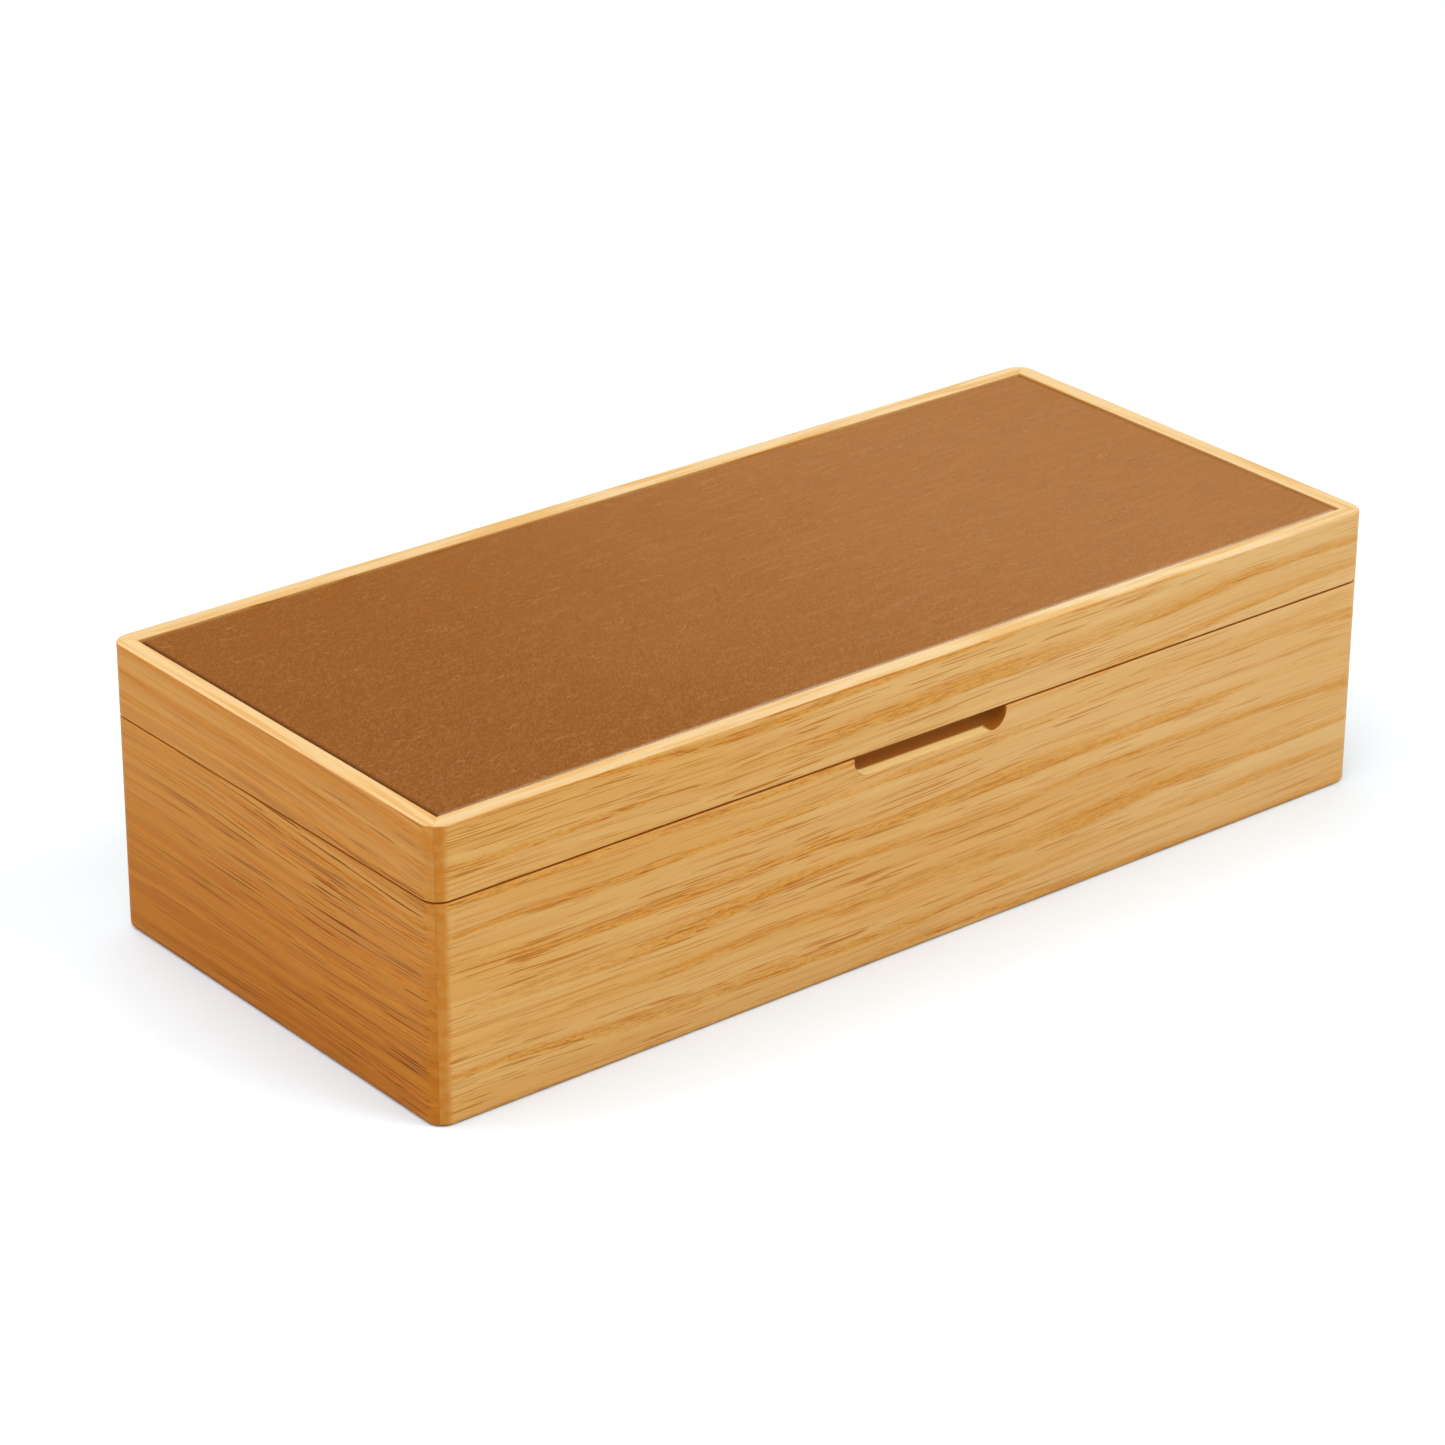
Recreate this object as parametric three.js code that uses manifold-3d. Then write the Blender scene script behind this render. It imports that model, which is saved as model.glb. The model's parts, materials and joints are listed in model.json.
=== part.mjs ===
// A lidded type case: an oak box with mitred corners, a shallow hinged lid with a leather-covered
// inlay in its top, a finger notch under the lid's front edge, two brass stop hinges, and a grid of
// thin dividers that makes one compartment for each letter and one for spaces.
//
// Millimetres, +Z up. The origin is the middle of the underside. +X runs along the case to the
// right, -Y is the front with the finger notch, and the hinges are on the +Y side.
import * as THREE from "three";
import { mergeVertices } from "three/addons/utils/BufferGeometryUtils.js";
import Module from "manifold-3d";

const wasm = await Module();
wasm.setup();

// ---- Driving dimensions ----
const LENGTH = 300;
const DEPTH = 134;
const HEIGHT = 78;
const SEAM_HEIGHT = 58.4; // height of the middle of the gap between base and lid
const SEAM_GAP = 0.4;
const WALL = 7; // thickness of every wall and rail
const CORNER_RADIUS = 5; // rounding of the four upright corners
const MITRE_GAP = 0.1; // glue line between two mitred faces
const FIT = 0.2; // clearance between a piece and the groove or rebate that holds it

const BOTTOM_THICKNESS = 5;
const BOTTOM_REBATE = 3.5; // how far the bottom panel reaches under the walls
const LINING_THICKNESS = 1.2;

const NOTCH = { length: 49, drop: 5.3, depth: 5, endRadius: 4.6, coveRadius: 3 };

const COLUMNS = 9;
const ROWS = 3;
const DIVIDER_THICKNESS = 3;
const DIVIDER_TOP = 51;
const HALVING_GAP = 0.3; // clearance on each side of a divider in another's slot

const RIM_WIDTH = 5.2; // the lid's rails are rebated to this width above the lid panel
const LEATHER_DROP = 0.45; // the leather lies this far below the rim
const LEATHER_THICKNESS = 1.2;
const LEATHER_MARGIN = 0.25; // open gap between the leather and the rim
const INLAY_BOARD_THICKNESS = 2;
const LID_PANEL_THICKNESS = 4;
const LID_GROOVE_DEPTH = 3;

const HINGE = {
  offset: 85, // distance of each hinge's middle from the middle of the case
  length: 30,
  leafWidth: 6, // from the pin's axis to the leaf's inner edge
  leafThickness: 1.7,
  axisOutboard: 0.5, // the pin's axis stands this far behind the back face
  knuckleRadius: 2,
  knuckleGap: 0.3,
  pinRadius: 0.9,
  boreRadius: 1.1,
  heelInner: 2.3, // the stop heels lie between these two radii around the pin
  heelOuter: 3.6,
  heelAngle: 48, // angle of each heel's stop face from the horizontal, closed
  mortiseGap: 0.3,
};
const SCREW = {
  offset: 9.5, // distance of each screw from its hinge's middle
  headRadius: 1.4,
  headHeight: 0.9,
  shankRadius: 0.7,
  length: 9,
  pointLength: 2,
  slotWidth: 0.5,
  slotDepth: 0.5,
  gap: 0.15,
};
const SCREW_INBOARD = 3.6; // the screws' distance in from the back face
const ROUND_SIDES = 24; // facets of a hinge knuckle, pin or screw
const ARC_SEGMENTS = 8; // facets of a rounded corner

// ---- Worked-out sizes ----
const HALF_LENGTH = LENGTH / 2;
const HALF_DEPTH = DEPTH / 2;
const BASE_TOP = SEAM_HEIGHT - SEAM_GAP / 2;
const LID_BOTTOM = SEAM_HEIGHT + SEAM_GAP / 2;
const INNER_LENGTH = LENGTH - 2 * WALL;
const INNER_DEPTH = DEPTH - 2 * WALL;
const REBATE_LENGTH = LENGTH - 2 * RIM_WIDTH;
const REBATE_DEPTH = DEPTH - 2 * RIM_WIDTH;
const LINING_TOP = BOTTOM_THICKNESS + FIT + LINING_THICKNESS;
const DIVIDER_BOTTOM = LINING_TOP + FIT;
const LEATHER_TOP = HEIGHT - LEATHER_DROP;
const INLAY_BOARD_TOP = LEATHER_TOP - LEATHER_THICKNESS - FIT;
const LID_PANEL_TOP = INLAY_BOARD_TOP - INLAY_BOARD_THICKNESS - FIT;
const LID_PANEL_BOTTOM = LID_PANEL_TOP - LID_PANEL_THICKNESS;
const AXIS_Y = HALF_DEPTH + HINGE.axisOutboard;
const BEYOND = 1; // a cutting tool reaches this far past the face that it cuts

// ---- Materials ----
const material = (color, roughness, metalness = 0) =>
  new THREE.MeshStandardMaterial({ color, roughness, metalness });
const OAK = material(0xd9a866, 0.5);
const PLYWOOD = material(0xcfa56c, 0.6);
const LEATHER = material(0xa76c38, 0.55);
const FELT = material(0x6d4327, 0.95);
const BRASS = material(0xb98f45, 0.3, 1);

// ---- Solids: three.js geometry in, three.js geometry out, joined and cut in between ----
function toSolid(geometry) {
  const bare = geometry.clone();
  bare.deleteAttribute("normal");
  bare.deleteAttribute("uv");
  const merged = mergeVertices(bare, 1e-4);
  return new wasm.Manifold(
    new wasm.Mesh({
      numProp: 3,
      vertProperties: new Float32Array(merged.attributes.position.array),
      triVerts: new Uint32Array(merged.index.array),
    }),
  );
}

function toGeometry(solid) {
  const { vertProperties, triVerts } = solid.getMesh();
  const geometry = new THREE.BufferGeometry();
  geometry.setAttribute("position", new THREE.BufferAttribute(vertProperties, 3));
  geometry.setIndex(new THREE.BufferAttribute(triVerts, 1));
  geometry.computeVertexNormals();
  return geometry;
}

function boxGeometry(low, high) {
  const size = high.map((value, i) => value - low[i]);
  const middle = high.map((value, i) => (value + low[i]) / 2);
  return new THREE.BoxGeometry(...size).translate(...middle);
}

const box = (low, high) => toSolid(boxGeometry(low, high));

// A box centred on the upright axis, of this length and depth.
const centredBox = (length, depth, bottom, top) =>
  boxGeometry([-length / 2, -depth / 2, bottom], [length / 2, depth / 2, top]);

function extrude(shape, distance) {
  return new THREE.ExtrudeGeometry(shape, {
    depth: distance,
    bevelEnabled: false,
    curveSegments: ARC_SEGMENTS,
  });
}

const polygon = (points) => new THREE.Shape(points.map(([a, b]) => new THREE.Vector2(a, b)));

// A shape drawn in X and Y, standing from bottom to top.
const standing = (shape, bottom, top) =>
  toSolid(extrude(shape, top - bottom).translate(0, 0, bottom));

// A shape drawn in Y and Z, reaching along X from one end to the other.
function alongX(shape, from, to) {
  const turn = new THREE.Matrix4().makeBasis(
    new THREE.Vector3(0, 1, 0),
    new THREE.Vector3(0, 0, 1),
    new THREE.Vector3(1, 0, 0),
  );
  return toSolid(extrude(shape, to - from).applyMatrix4(turn).translate(from, 0, 0));
}

// A shape drawn in X and Z, reaching along Y from one face to the other.
function alongY(shape, from, to) {
  const geometry = extrude(shape, to - from);
  return toSolid(geometry.rotateX(Math.PI / 2).translate(0, to, 0));
}

function rodAlongX(radius, from, to, y, z) {
  const rod = new THREE.CylinderGeometry(radius, radius, to - from, ROUND_SIDES);
  return toSolid(rod.rotateZ(Math.PI / 2).translate((from + to) / 2, y, z));
}

// ---- The mitred rings of base and lid ----
function roundedRectangle(length, depth, radius) {
  const x = length / 2;
  const y = depth / 2;
  const shape = new THREE.Shape();
  shape.moveTo(-x + radius, -y);
  shape.lineTo(x - radius, -y);
  shape.absarc(x - radius, -y + radius, radius, -Math.PI / 2, 0, false);
  shape.lineTo(x, y - radius);
  shape.absarc(x - radius, y - radius, radius, 0, Math.PI / 2, false);
  shape.lineTo(-x + radius, y);
  shape.absarc(-x + radius, y - radius, radius, Math.PI / 2, Math.PI, false);
  shape.lineTo(-x, -y + radius);
  shape.absarc(-x + radius, -y + radius, radius, Math.PI, 1.5 * Math.PI, false);
  return shape;
}

// The two kinds of quarter that the mitres cut a ring into, each drawn for the front or left side.
function mitreSectors() {
  const out = BEYOND;
  const inner = WALL + BEYOND;
  const slip = (MITRE_GAP / 2) * Math.SQRT2;
  const longSide = polygon([
    [-HALF_LENGTH - out + slip, -HALF_DEPTH - out],
    [HALF_LENGTH + out - slip, -HALF_DEPTH - out],
    [HALF_LENGTH - inner - slip, -HALF_DEPTH + inner],
    [-HALF_LENGTH + inner + slip, -HALF_DEPTH + inner],
  ]);
  const shortSide = polygon([
    [-HALF_LENGTH - out, -HALF_DEPTH - out + slip],
    [-HALF_LENGTH + inner, -HALF_DEPTH + inner + slip],
    [-HALF_LENGTH + inner, HALF_DEPTH - inner - slip],
    [-HALF_LENGTH - out, HALF_DEPTH + out - slip],
  ]);
  return { longSide, shortSide };
}

function mitredRing(bottom, top) {
  const shape = roundedRectangle(LENGTH, DEPTH, CORNER_RADIUS);
  const inside = new THREE.Path();
  const x = INNER_LENGTH / 2;
  const y = INNER_DEPTH / 2;
  inside.setFromPoints([
    new THREE.Vector2(-x, -y),
    new THREE.Vector2(-x, y),
    new THREE.Vector2(x, y),
    new THREE.Vector2(x, -y),
  ]);
  shape.holes.push(inside);
  const ring = standing(shape, bottom, top);
  const { longSide, shortSide } = mitreSectors();
  const front = standing(longSide, bottom - BEYOND, top + BEYOND);
  const left = standing(shortSide, bottom - BEYOND, top + BEYOND);
  return {
    front: ring.intersect(front),
    back: ring.intersect(front.mirror([0, 1, 0])),
    left: ring.intersect(left),
    right: ring.intersect(left.mirror([1, 0, 0])),
  };
}

// ---- The finger notch: rounded lower corners from the front, a cove where its floor meets its back ----
function fingerNotch() {
  const half = NOTCH.length / 2;
  const floor = BASE_TOP - NOTCH.drop;
  const round = NOTCH.endRadius;
  const cove = NOTCH.coveRadius;
  const top = BASE_TOP + BEYOND;
  const face = new THREE.Shape();
  face.moveTo(-half, top);
  face.lineTo(-half, floor + round);
  face.absarc(-half + round, floor + round, round, Math.PI, 1.5 * Math.PI, false);
  face.lineTo(half - round, floor);
  face.absarc(half - round, floor + round, round, -Math.PI / 2, 0, false);
  face.lineTo(half, top);

  const back = -HALF_DEPTH + NOTCH.depth;
  const section = new THREE.Shape();
  section.moveTo(-HALF_DEPTH - BEYOND, floor);
  section.lineTo(back - cove, floor);
  section.absarc(back - cove, floor + cove, cove, -Math.PI / 2, 0, false);
  section.lineTo(back, top);
  section.lineTo(-HALF_DEPTH - BEYOND, top);

  const throughFace = alongY(face, -HALF_DEPTH - BEYOND, back + BEYOND);
  return throughFace.intersect(alongX(section, -half - BEYOND, half + BEYOND));
}

// ---- Screws ----
// A countersunk wood screw, head up, its head's flat face at the origin. A positive margin makes the
// hole that it sits in.
function screwGeometry(margin = 0) {
  const head = SCREW.headRadius + margin;
  const shank = SCREW.shankRadius + margin;
  const end = -SCREW.length - margin;
  const top = margin > 0 ? BEYOND : 0;
  const profile = [
    [0, end],
    [shank, end + SCREW.pointLength],
    [shank, -SCREW.headHeight],
    [head, 0],
    ...(margin > 0 ? [[head, top]] : []),
    [0, top],
  ].map(([radius, height]) => new THREE.Vector2(radius, height));
  return new THREE.LatheGeometry(profile, ROUND_SIDES).rotateX(Math.PI / 2);
}

function screw() {
  const reach = SCREW.headRadius + BEYOND;
  const slot = box([-reach, -SCREW.slotWidth / 2, -SCREW.slotDepth], [reach, SCREW.slotWidth / 2, BEYOND]);
  return toSolid(screwGeometry()).subtract(slot);
}

const screwHole = () => toSolid(screwGeometry(SCREW.gap));
const SCREW_Y = HALF_DEPTH - SCREW_INBOARD;

// A base screw points down and a lid screw up, each with its head's face on its leaf's open face.
function placedOnLeaf(solid, hingeX, side, upward) {
  const turned = upward ? solid.rotate([180, 0, 0]) : solid;
  return turned.translate([hingeX + side * SCREW.offset, SCREW_Y, upward ? LID_BOTTOM : BASE_TOP]);
}

// ---- Hinges ----
// Every hinge solid is drawn in Y and Z around the pin's axis, for a hinge in the middle of the case,
// with the leaf below the axis. The lid's leaf is the same drawing turned over.
const KNUCKLE_END = HINGE.length / 6; // the middle third is the lid's knuckle

function knuckleSpans(forLid) {
  const half = HINGE.length / 2;
  if (forLid) return [[-KNUCKLE_END + HINGE.knuckleGap / 2, KNUCKLE_END - HINGE.knuckleGap / 2]];
  return [
    [-half, -KNUCKLE_END - HINGE.knuckleGap / 2],
    [KNUCKLE_END + HINGE.knuckleGap / 2, half],
  ];
}

// A ring sector behind the knuckles. Its upper face meets the other leaf's when the lid is fully open.
function heelShape(innerRadius) {
  const face = -THREE.MathUtils.degToRad(HINGE.heelAngle);
  const shape = new THREE.Shape();
  shape.absarc(0, 0, HINGE.heelOuter, -Math.PI / 2, face, false);
  shape.absarc(0, 0, innerRadius, face, -Math.PI / 2, true);
  return shape;
}

function hingeLeaf(forLid) {
  const half = HINGE.length / 2;
  const open = -SEAM_GAP / 2;
  const plateShape = polygon([
    [-HINGE.leafWidth, open - HINGE.leafThickness],
    [0, open - HINGE.leafThickness],
    [0, open],
    [-HINGE.leafWidth, open],
  ]);
  const clearance = HINGE.knuckleRadius + HINGE.knuckleGap;
  let leaf = alongX(plateShape, -half, half);
  for (const [from, to] of knuckleSpans(!forLid)) {
    const gap = HINGE.knuckleGap;
    leaf = leaf.subtract(rodAlongX(clearance, from - gap, to + gap, 0, 0));
  }
  for (const [from, to] of knuckleSpans(forLid)) {
    leaf = leaf.add(rodAlongX(HINGE.knuckleRadius, from, to, 0, 0));
    leaf = leaf.add(alongX(heelShape(HINGE.boreRadius + 0.2), from, to));
  }
  leaf = leaf.add(alongX(heelShape(HINGE.heelInner), -half, half));
  leaf = leaf.subtract(rodAlongX(HINGE.boreRadius, -half - BEYOND, half + BEYOND, 0, 0));
  return forLid ? leaf.mirror([0, 0, 1]) : leaf;
}

function hingeMortise() {
  const half = HINGE.length / 2 + HINGE.mortiseGap;
  const depth = SEAM_GAP / 2 + HINGE.leafThickness + HINGE.mortiseGap;
  const pocket = box(
    [-half, AXIS_Y - HINGE.leafWidth - HINGE.mortiseGap, SEAM_HEIGHT - depth],
    [half, HALF_DEPTH + BEYOND, SEAM_HEIGHT + depth],
  );
  const barrel = rodAlongX(HINGE.knuckleRadius + HINGE.mortiseGap, -half, half, AXIS_Y, SEAM_HEIGHT);
  return pocket.add(barrel);
}

const HINGES = [
  { side: "left", x: -HINGE.offset },
  { side: "right", x: HINGE.offset },
];

// ---- The scene graph ----
const typeCase = new THREE.Group();
const base = new THREE.Group();
const lid = new THREE.Group();
typeCase.add(base, lid);

function addPiece(group, name, geometry, pieceMaterial) {
  const mesh = new THREE.Mesh(geometry, pieceMaterial);
  mesh.name = name;
  group.add(mesh);
}

function addWalls() {
  const walls = mitredRing(0, BASE_TOP);
  const rebate = toSolid(
    centredBox(
      INNER_LENGTH + 2 * BOTTOM_REBATE,
      INNER_DEPTH + 2 * BOTTOM_REBATE,
      -BEYOND,
      BOTTOM_THICKNESS + FIT,
    ),
  );
  for (const side of Object.keys(walls)) walls[side] = walls[side].subtract(rebate);
  walls.front = walls.front.subtract(fingerNotch());
  for (const { x } of HINGES) {
    walls.back = walls.back.subtract(hingeMortise().translate([x, 0, 0]));
    for (const side of [-1, 1]) {
      walls.back = walls.back.subtract(placedOnLeaf(screwHole(), x, side, false));
    }
  }
  for (const side of Object.keys(walls)) {
    addPiece(base, `base_${side}_wall`, toGeometry(walls[side]), OAK);
  }
}

function addBottom() {
  const reach = 2 * (BOTTOM_REBATE - FIT);
  const panel = centredBox(INNER_LENGTH + reach, INNER_DEPTH + reach, 0, BOTTOM_THICKNESS);
  addPiece(base, "bottom_panel", panel, PLYWOOD);
  const lining = centredBox(
    INNER_LENGTH - 2 * FIT,
    INNER_DEPTH - 2 * FIT,
    BOTTOM_THICKNESS + FIT,
    LINING_TOP,
  );
  addPiece(base, "floor_lining", lining, FELT);
}

// The middle of each divider in a row of equal compartments.
function dividerPlaces(innerSize, count) {
  const pitch = (innerSize + DIVIDER_THICKNESS) / count;
  return Array.from({ length: count - 1 }, (_, i) => (i + 1 - count / 2) * pitch);
}

// Long dividers are slotted from above and cross dividers from below, so that they lock together.
function addDividers() {
  const middle = (DIVIDER_BOTTOM + DIVIDER_TOP) / 2;
  const columnPlaces = dividerPlaces(INNER_LENGTH, COLUMNS);
  const rowPlaces = dividerPlaces(INNER_DEPTH, ROWS);
  const half = DIVIDER_THICKNESS / 2;
  const slot = half + HALVING_GAP;
  const longEnd = INNER_LENGTH / 2 - FIT;
  const crossEnd = INNER_DEPTH / 2 - FIT;

  rowPlaces.forEach((y, i) => {
    let board = box([-longEnd, y - half, DIVIDER_BOTTOM], [longEnd, y + half, DIVIDER_TOP]);
    for (const x of columnPlaces) {
      const low = [x - slot, y - half - BEYOND, middle - HALVING_GAP / 2];
      board = board.subtract(box(low, [x + slot, y + half + BEYOND, DIVIDER_TOP + BEYOND]));
    }
    addPiece(base, `long_divider_${i + 1}`, toGeometry(board), OAK);
  });

  columnPlaces.forEach((x, i) => {
    let board = box([x - half, -crossEnd, DIVIDER_BOTTOM], [x + half, crossEnd, DIVIDER_TOP]);
    for (const y of rowPlaces) {
      const low = [x - half - BEYOND, y - slot, DIVIDER_BOTTOM - BEYOND];
      board = board.subtract(box(low, [x + half + BEYOND, y + slot, middle + HALVING_GAP / 2]));
    }
    addPiece(base, `cross_divider_${i + 1}`, toGeometry(board), OAK);
  });
}

function addLidFrame() {
  const rails = mitredRing(LID_BOTTOM, HEIGHT);
  const groove = toSolid(
    centredBox(
      INNER_LENGTH + 2 * LID_GROOVE_DEPTH,
      INNER_DEPTH + 2 * LID_GROOVE_DEPTH,
      LID_PANEL_BOTTOM - FIT,
      LID_PANEL_TOP + FIT,
    ),
  );
  const rebate = toSolid(
    centredBox(REBATE_LENGTH, REBATE_DEPTH, LID_PANEL_TOP, HEIGHT + BEYOND),
  );
  for (const side of Object.keys(rails)) {
    rails[side] = rails[side].subtract(groove).subtract(rebate);
  }
  for (const { x } of HINGES) {
    rails.back = rails.back.subtract(hingeMortise().translate([x, 0, 0]));
    for (const side of [-1, 1]) {
      rails.back = rails.back.subtract(placedOnLeaf(screwHole(), x, side, true));
    }
  }
  for (const side of Object.keys(rails)) {
    addPiece(lid, `lid_${side}_rail`, toGeometry(rails[side]), OAK);
  }
}

function addLidPanels() {
  const reach = 2 * (LID_GROOVE_DEPTH - FIT);
  const panel = centredBox(
    INNER_LENGTH + reach,
    INNER_DEPTH + reach,
    LID_PANEL_BOTTOM,
    LID_PANEL_TOP,
  );
  addPiece(lid, "lid_panel", panel, PLYWOOD);

  const lining = centredBox(
    INNER_LENGTH - 2 * FIT,
    INNER_DEPTH - 2 * FIT,
    LID_PANEL_BOTTOM - FIT - LINING_THICKNESS,
    LID_PANEL_BOTTOM - FIT,
  );
  addPiece(lid, "lid_lining", lining, FELT);

  // The leather is glued over the board's top and turned down over its edges.
  const leatherLength = REBATE_LENGTH - 2 * LEATHER_MARGIN;
  const leatherDepth = REBATE_DEPTH - 2 * LEATHER_MARGIN;
  const wrap = 2 * LEATHER_THICKNESS;
  const boardBottom = LID_PANEL_TOP + FIT;
  const hollow = centredBox(
    leatherLength - wrap,
    leatherDepth - wrap,
    boardBottom - BEYOND,
    INLAY_BOARD_TOP + FIT,
  );
  const outside = centredBox(leatherLength, leatherDepth, boardBottom, LEATHER_TOP);
  const cover = toSolid(outside).subtract(toSolid(hollow));
  addPiece(lid, "leather_cover", toGeometry(cover), LEATHER);

  const board = centredBox(
    leatherLength - wrap - 2 * FIT,
    leatherDepth - wrap - 2 * FIT,
    boardBottom,
    INLAY_BOARD_TOP,
  );
  addPiece(lid, "inlay_board", board, PLYWOOD);
}

function addHinges() {
  const half = HINGE.length / 2;
  for (const { side, x } of HINGES) {
    for (const forLid of [false, true]) {
      const group = forLid ? lid : base;
      const holder = forLid ? "lid" : "base";
      let leaf = hingeLeaf(forLid).translate([x, AXIS_Y, SEAM_HEIGHT]);
      for (const hand of [-1, 1]) {
        leaf = leaf.subtract(placedOnLeaf(screwHole(), x, hand, forLid));
        const name = `${side}_hinge_${holder}_screw_${hand < 0 ? 1 : 2}`;
        addPiece(group, name, toGeometry(placedOnLeaf(screw(), x, hand, forLid)), BRASS);
      }
      addPiece(group, `${side}_hinge_${holder}_leaf`, toGeometry(leaf), BRASS);
    }
    const pin = rodAlongX(HINGE.pinRadius, x - half, x + half, AXIS_Y, SEAM_HEIGHT);
    addPiece(base, `${side}_hinge_pin`, toGeometry(pin), BRASS);
  }
}

addWalls();
addBottom();
addDividers();
addLidFrame();
addLidPanels();
addHinges();

export default typeCase;
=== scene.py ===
"""The type case as it looks: oak box and lid, leather inlay, felt linings, dividers, brass hinges.

Everything is in metres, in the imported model's frame: +X along the case, -Y the front with the
finger notch, +Z up, the origin in the middle of the underside.
"""
import itertools
import json
import math

import bmesh
import bpy
from mathutils import Matrix, Vector, noise


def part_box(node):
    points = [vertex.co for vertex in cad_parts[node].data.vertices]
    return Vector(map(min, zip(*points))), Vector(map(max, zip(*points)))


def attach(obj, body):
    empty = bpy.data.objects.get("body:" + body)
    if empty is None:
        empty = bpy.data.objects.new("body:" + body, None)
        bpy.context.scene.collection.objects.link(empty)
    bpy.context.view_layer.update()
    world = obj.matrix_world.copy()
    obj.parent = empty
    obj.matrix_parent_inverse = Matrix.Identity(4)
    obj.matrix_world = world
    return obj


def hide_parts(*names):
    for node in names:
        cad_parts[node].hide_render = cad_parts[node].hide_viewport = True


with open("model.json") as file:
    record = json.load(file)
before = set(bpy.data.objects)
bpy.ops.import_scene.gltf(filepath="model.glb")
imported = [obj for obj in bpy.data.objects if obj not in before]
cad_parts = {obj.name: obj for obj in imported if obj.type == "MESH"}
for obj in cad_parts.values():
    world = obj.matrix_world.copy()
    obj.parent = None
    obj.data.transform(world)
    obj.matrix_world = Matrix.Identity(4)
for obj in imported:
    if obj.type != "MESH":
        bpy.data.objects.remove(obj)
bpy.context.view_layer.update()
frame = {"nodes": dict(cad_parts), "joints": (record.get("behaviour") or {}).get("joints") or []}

MM = 0.001

# ---- Sizes from the frame ----
front_low, front_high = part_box("base_front_wall")
side_low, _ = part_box("base_left_wall")
rail_low, rail_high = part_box("lid_front_rail")
HALF_LENGTH = -side_low.x
HALF_DEPTH = -front_low.y
WALL = front_high.y - front_low.y
BASE_TOP = front_high.z
LID_BOTTOM = rail_low.z
HEIGHT = rail_high.z
HINGE_AXIS = Vector(frame["joints"][0]["pos_m"])

# ---- Details that the frame's boxes don't give ----
# A PAST size is how far a cutting tool reaches beyond the face that it cuts.
CORNER_RADIUS = 5 * MM
MITRE_GAP = 0.03 * MM
FIT = 0.2 * MM
TOP_ROUNDING = 0.45 * MM
SEAM_EASING = 0.5 * MM
BOTTOM_EASING = 1.5 * MM
INSIDE_EASING = 0.35 * MM
RIM_EASING = 0.4 * MM
PANEL_EASING = 0.3 * MM
BOTTOM_REBATE_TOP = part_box("bottom_panel")[1].z + FIT
BOTTOM_REBATE_EDGE = HALF_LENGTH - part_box("bottom_panel")[1].x - FIT
LID_GROOVE_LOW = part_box("lid_panel")[0].z - FIT
LID_GROOVE_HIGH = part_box("lid_panel")[1].z + FIT
LID_GROOVE_EDGE = HALF_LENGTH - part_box("lid_panel")[1].x - FIT
LEATHER_MARGIN = 0.25 * MM
LEATHER_ROUNDING = 1.1 * MM
LEATHER_RIPPLE = 0.05 * MM
LEATHER_RIPPLE_LENGTH = 24 * MM
FELT_ROUNDING = 0.5 * MM
FELT_RIPPLE = 0.06 * MM
FELT_RIPPLE_LENGTH = 9 * MM
SOFT_SHARP_DEGREES = 80
BRASS_SHARP_DEGREES = 30
RIM_WIDTH = HALF_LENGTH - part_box("leather_cover")[1].x - LEATHER_MARGIN

NOTCH_HALF = 24.5 * MM
NOTCH_DROP = 5.3 * MM
NOTCH_DEPTH = 5 * MM
NOTCH_END_RADIUS = 4.6 * MM
NOTCH_COVE = 3 * MM
NOTCH_EASING = 0.35 * MM
SMALLEST_END_RADIUS = 0.2 * MM

DIVIDER_EASING = 0.45 * MM
DIVIDER_SLOT_SIDE_GAP = 0.3 * MM
DIVIDER_SLOT_END_GAP = 0.15 * MM

KNUCKLE_RADIUS = 2 * MM
KNUCKLE_GAP = 0.3 * MM
BORE_RADIUS = 1.1 * MM
LEAF_WIDTH = 6 * MM
LEAF_THICKNESS = 1.7 * MM
LEAF_EASING = 0.15 * MM
HEEL_INNER = 2.3 * MM
HEEL_OUTER = 3.6 * MM
HEEL_ANGLE = 48
HEEL_CORE = BORE_RADIUS + 0.2 * MM
HEEL_END_STEP = 0.02 * MM
MORTISE_GAP = 0.15 * MM
MORTISE_PAST = 5 * MM
PIN_DOME = 0.25 * MM

SCREW_HEAD = 1.4 * MM
SCREW_HEAD_HEIGHT = 0.9 * MM
SCREW_SHANK = 0.7 * MM
SCREW_CORE = 0.5 * MM
SCREW_LENGTH = 9 * MM
SCREW_POINT = 2 * MM
SCREW_TIP = 0.12 * MM
SCREW_SINK = 0.1 * MM
HEAD_TAPER = 0.02 * MM
HEAD_CHAMFER = 0.06 * MM
HEAD_CHAMFER_HEIGHT = 0.08 * MM
THREAD_PITCH = 0.75 * MM
THREAD_TOP = 2.6 * MM
THREAD_START = 0.3 * MM
THREAD_EASING = 0.2 * MM
SCREW_SLOT_HALF = 0.25 * MM
SCREW_SLOT_DEPTH = 0.5 * MM
SCREW_SLOT_REACH = 3 * MM

CUT_PAST = 1 * MM


# ======== Meshes ========
def new_object(name, vertices, faces):
    mesh = bpy.data.meshes.new(name)
    mesh.from_pydata([tuple(v) for v in vertices], [], faces)
    mesh.validate()
    obj = bpy.data.objects.new(name, mesh)
    bpy.context.scene.collection.objects.link(obj)
    return obj


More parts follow.
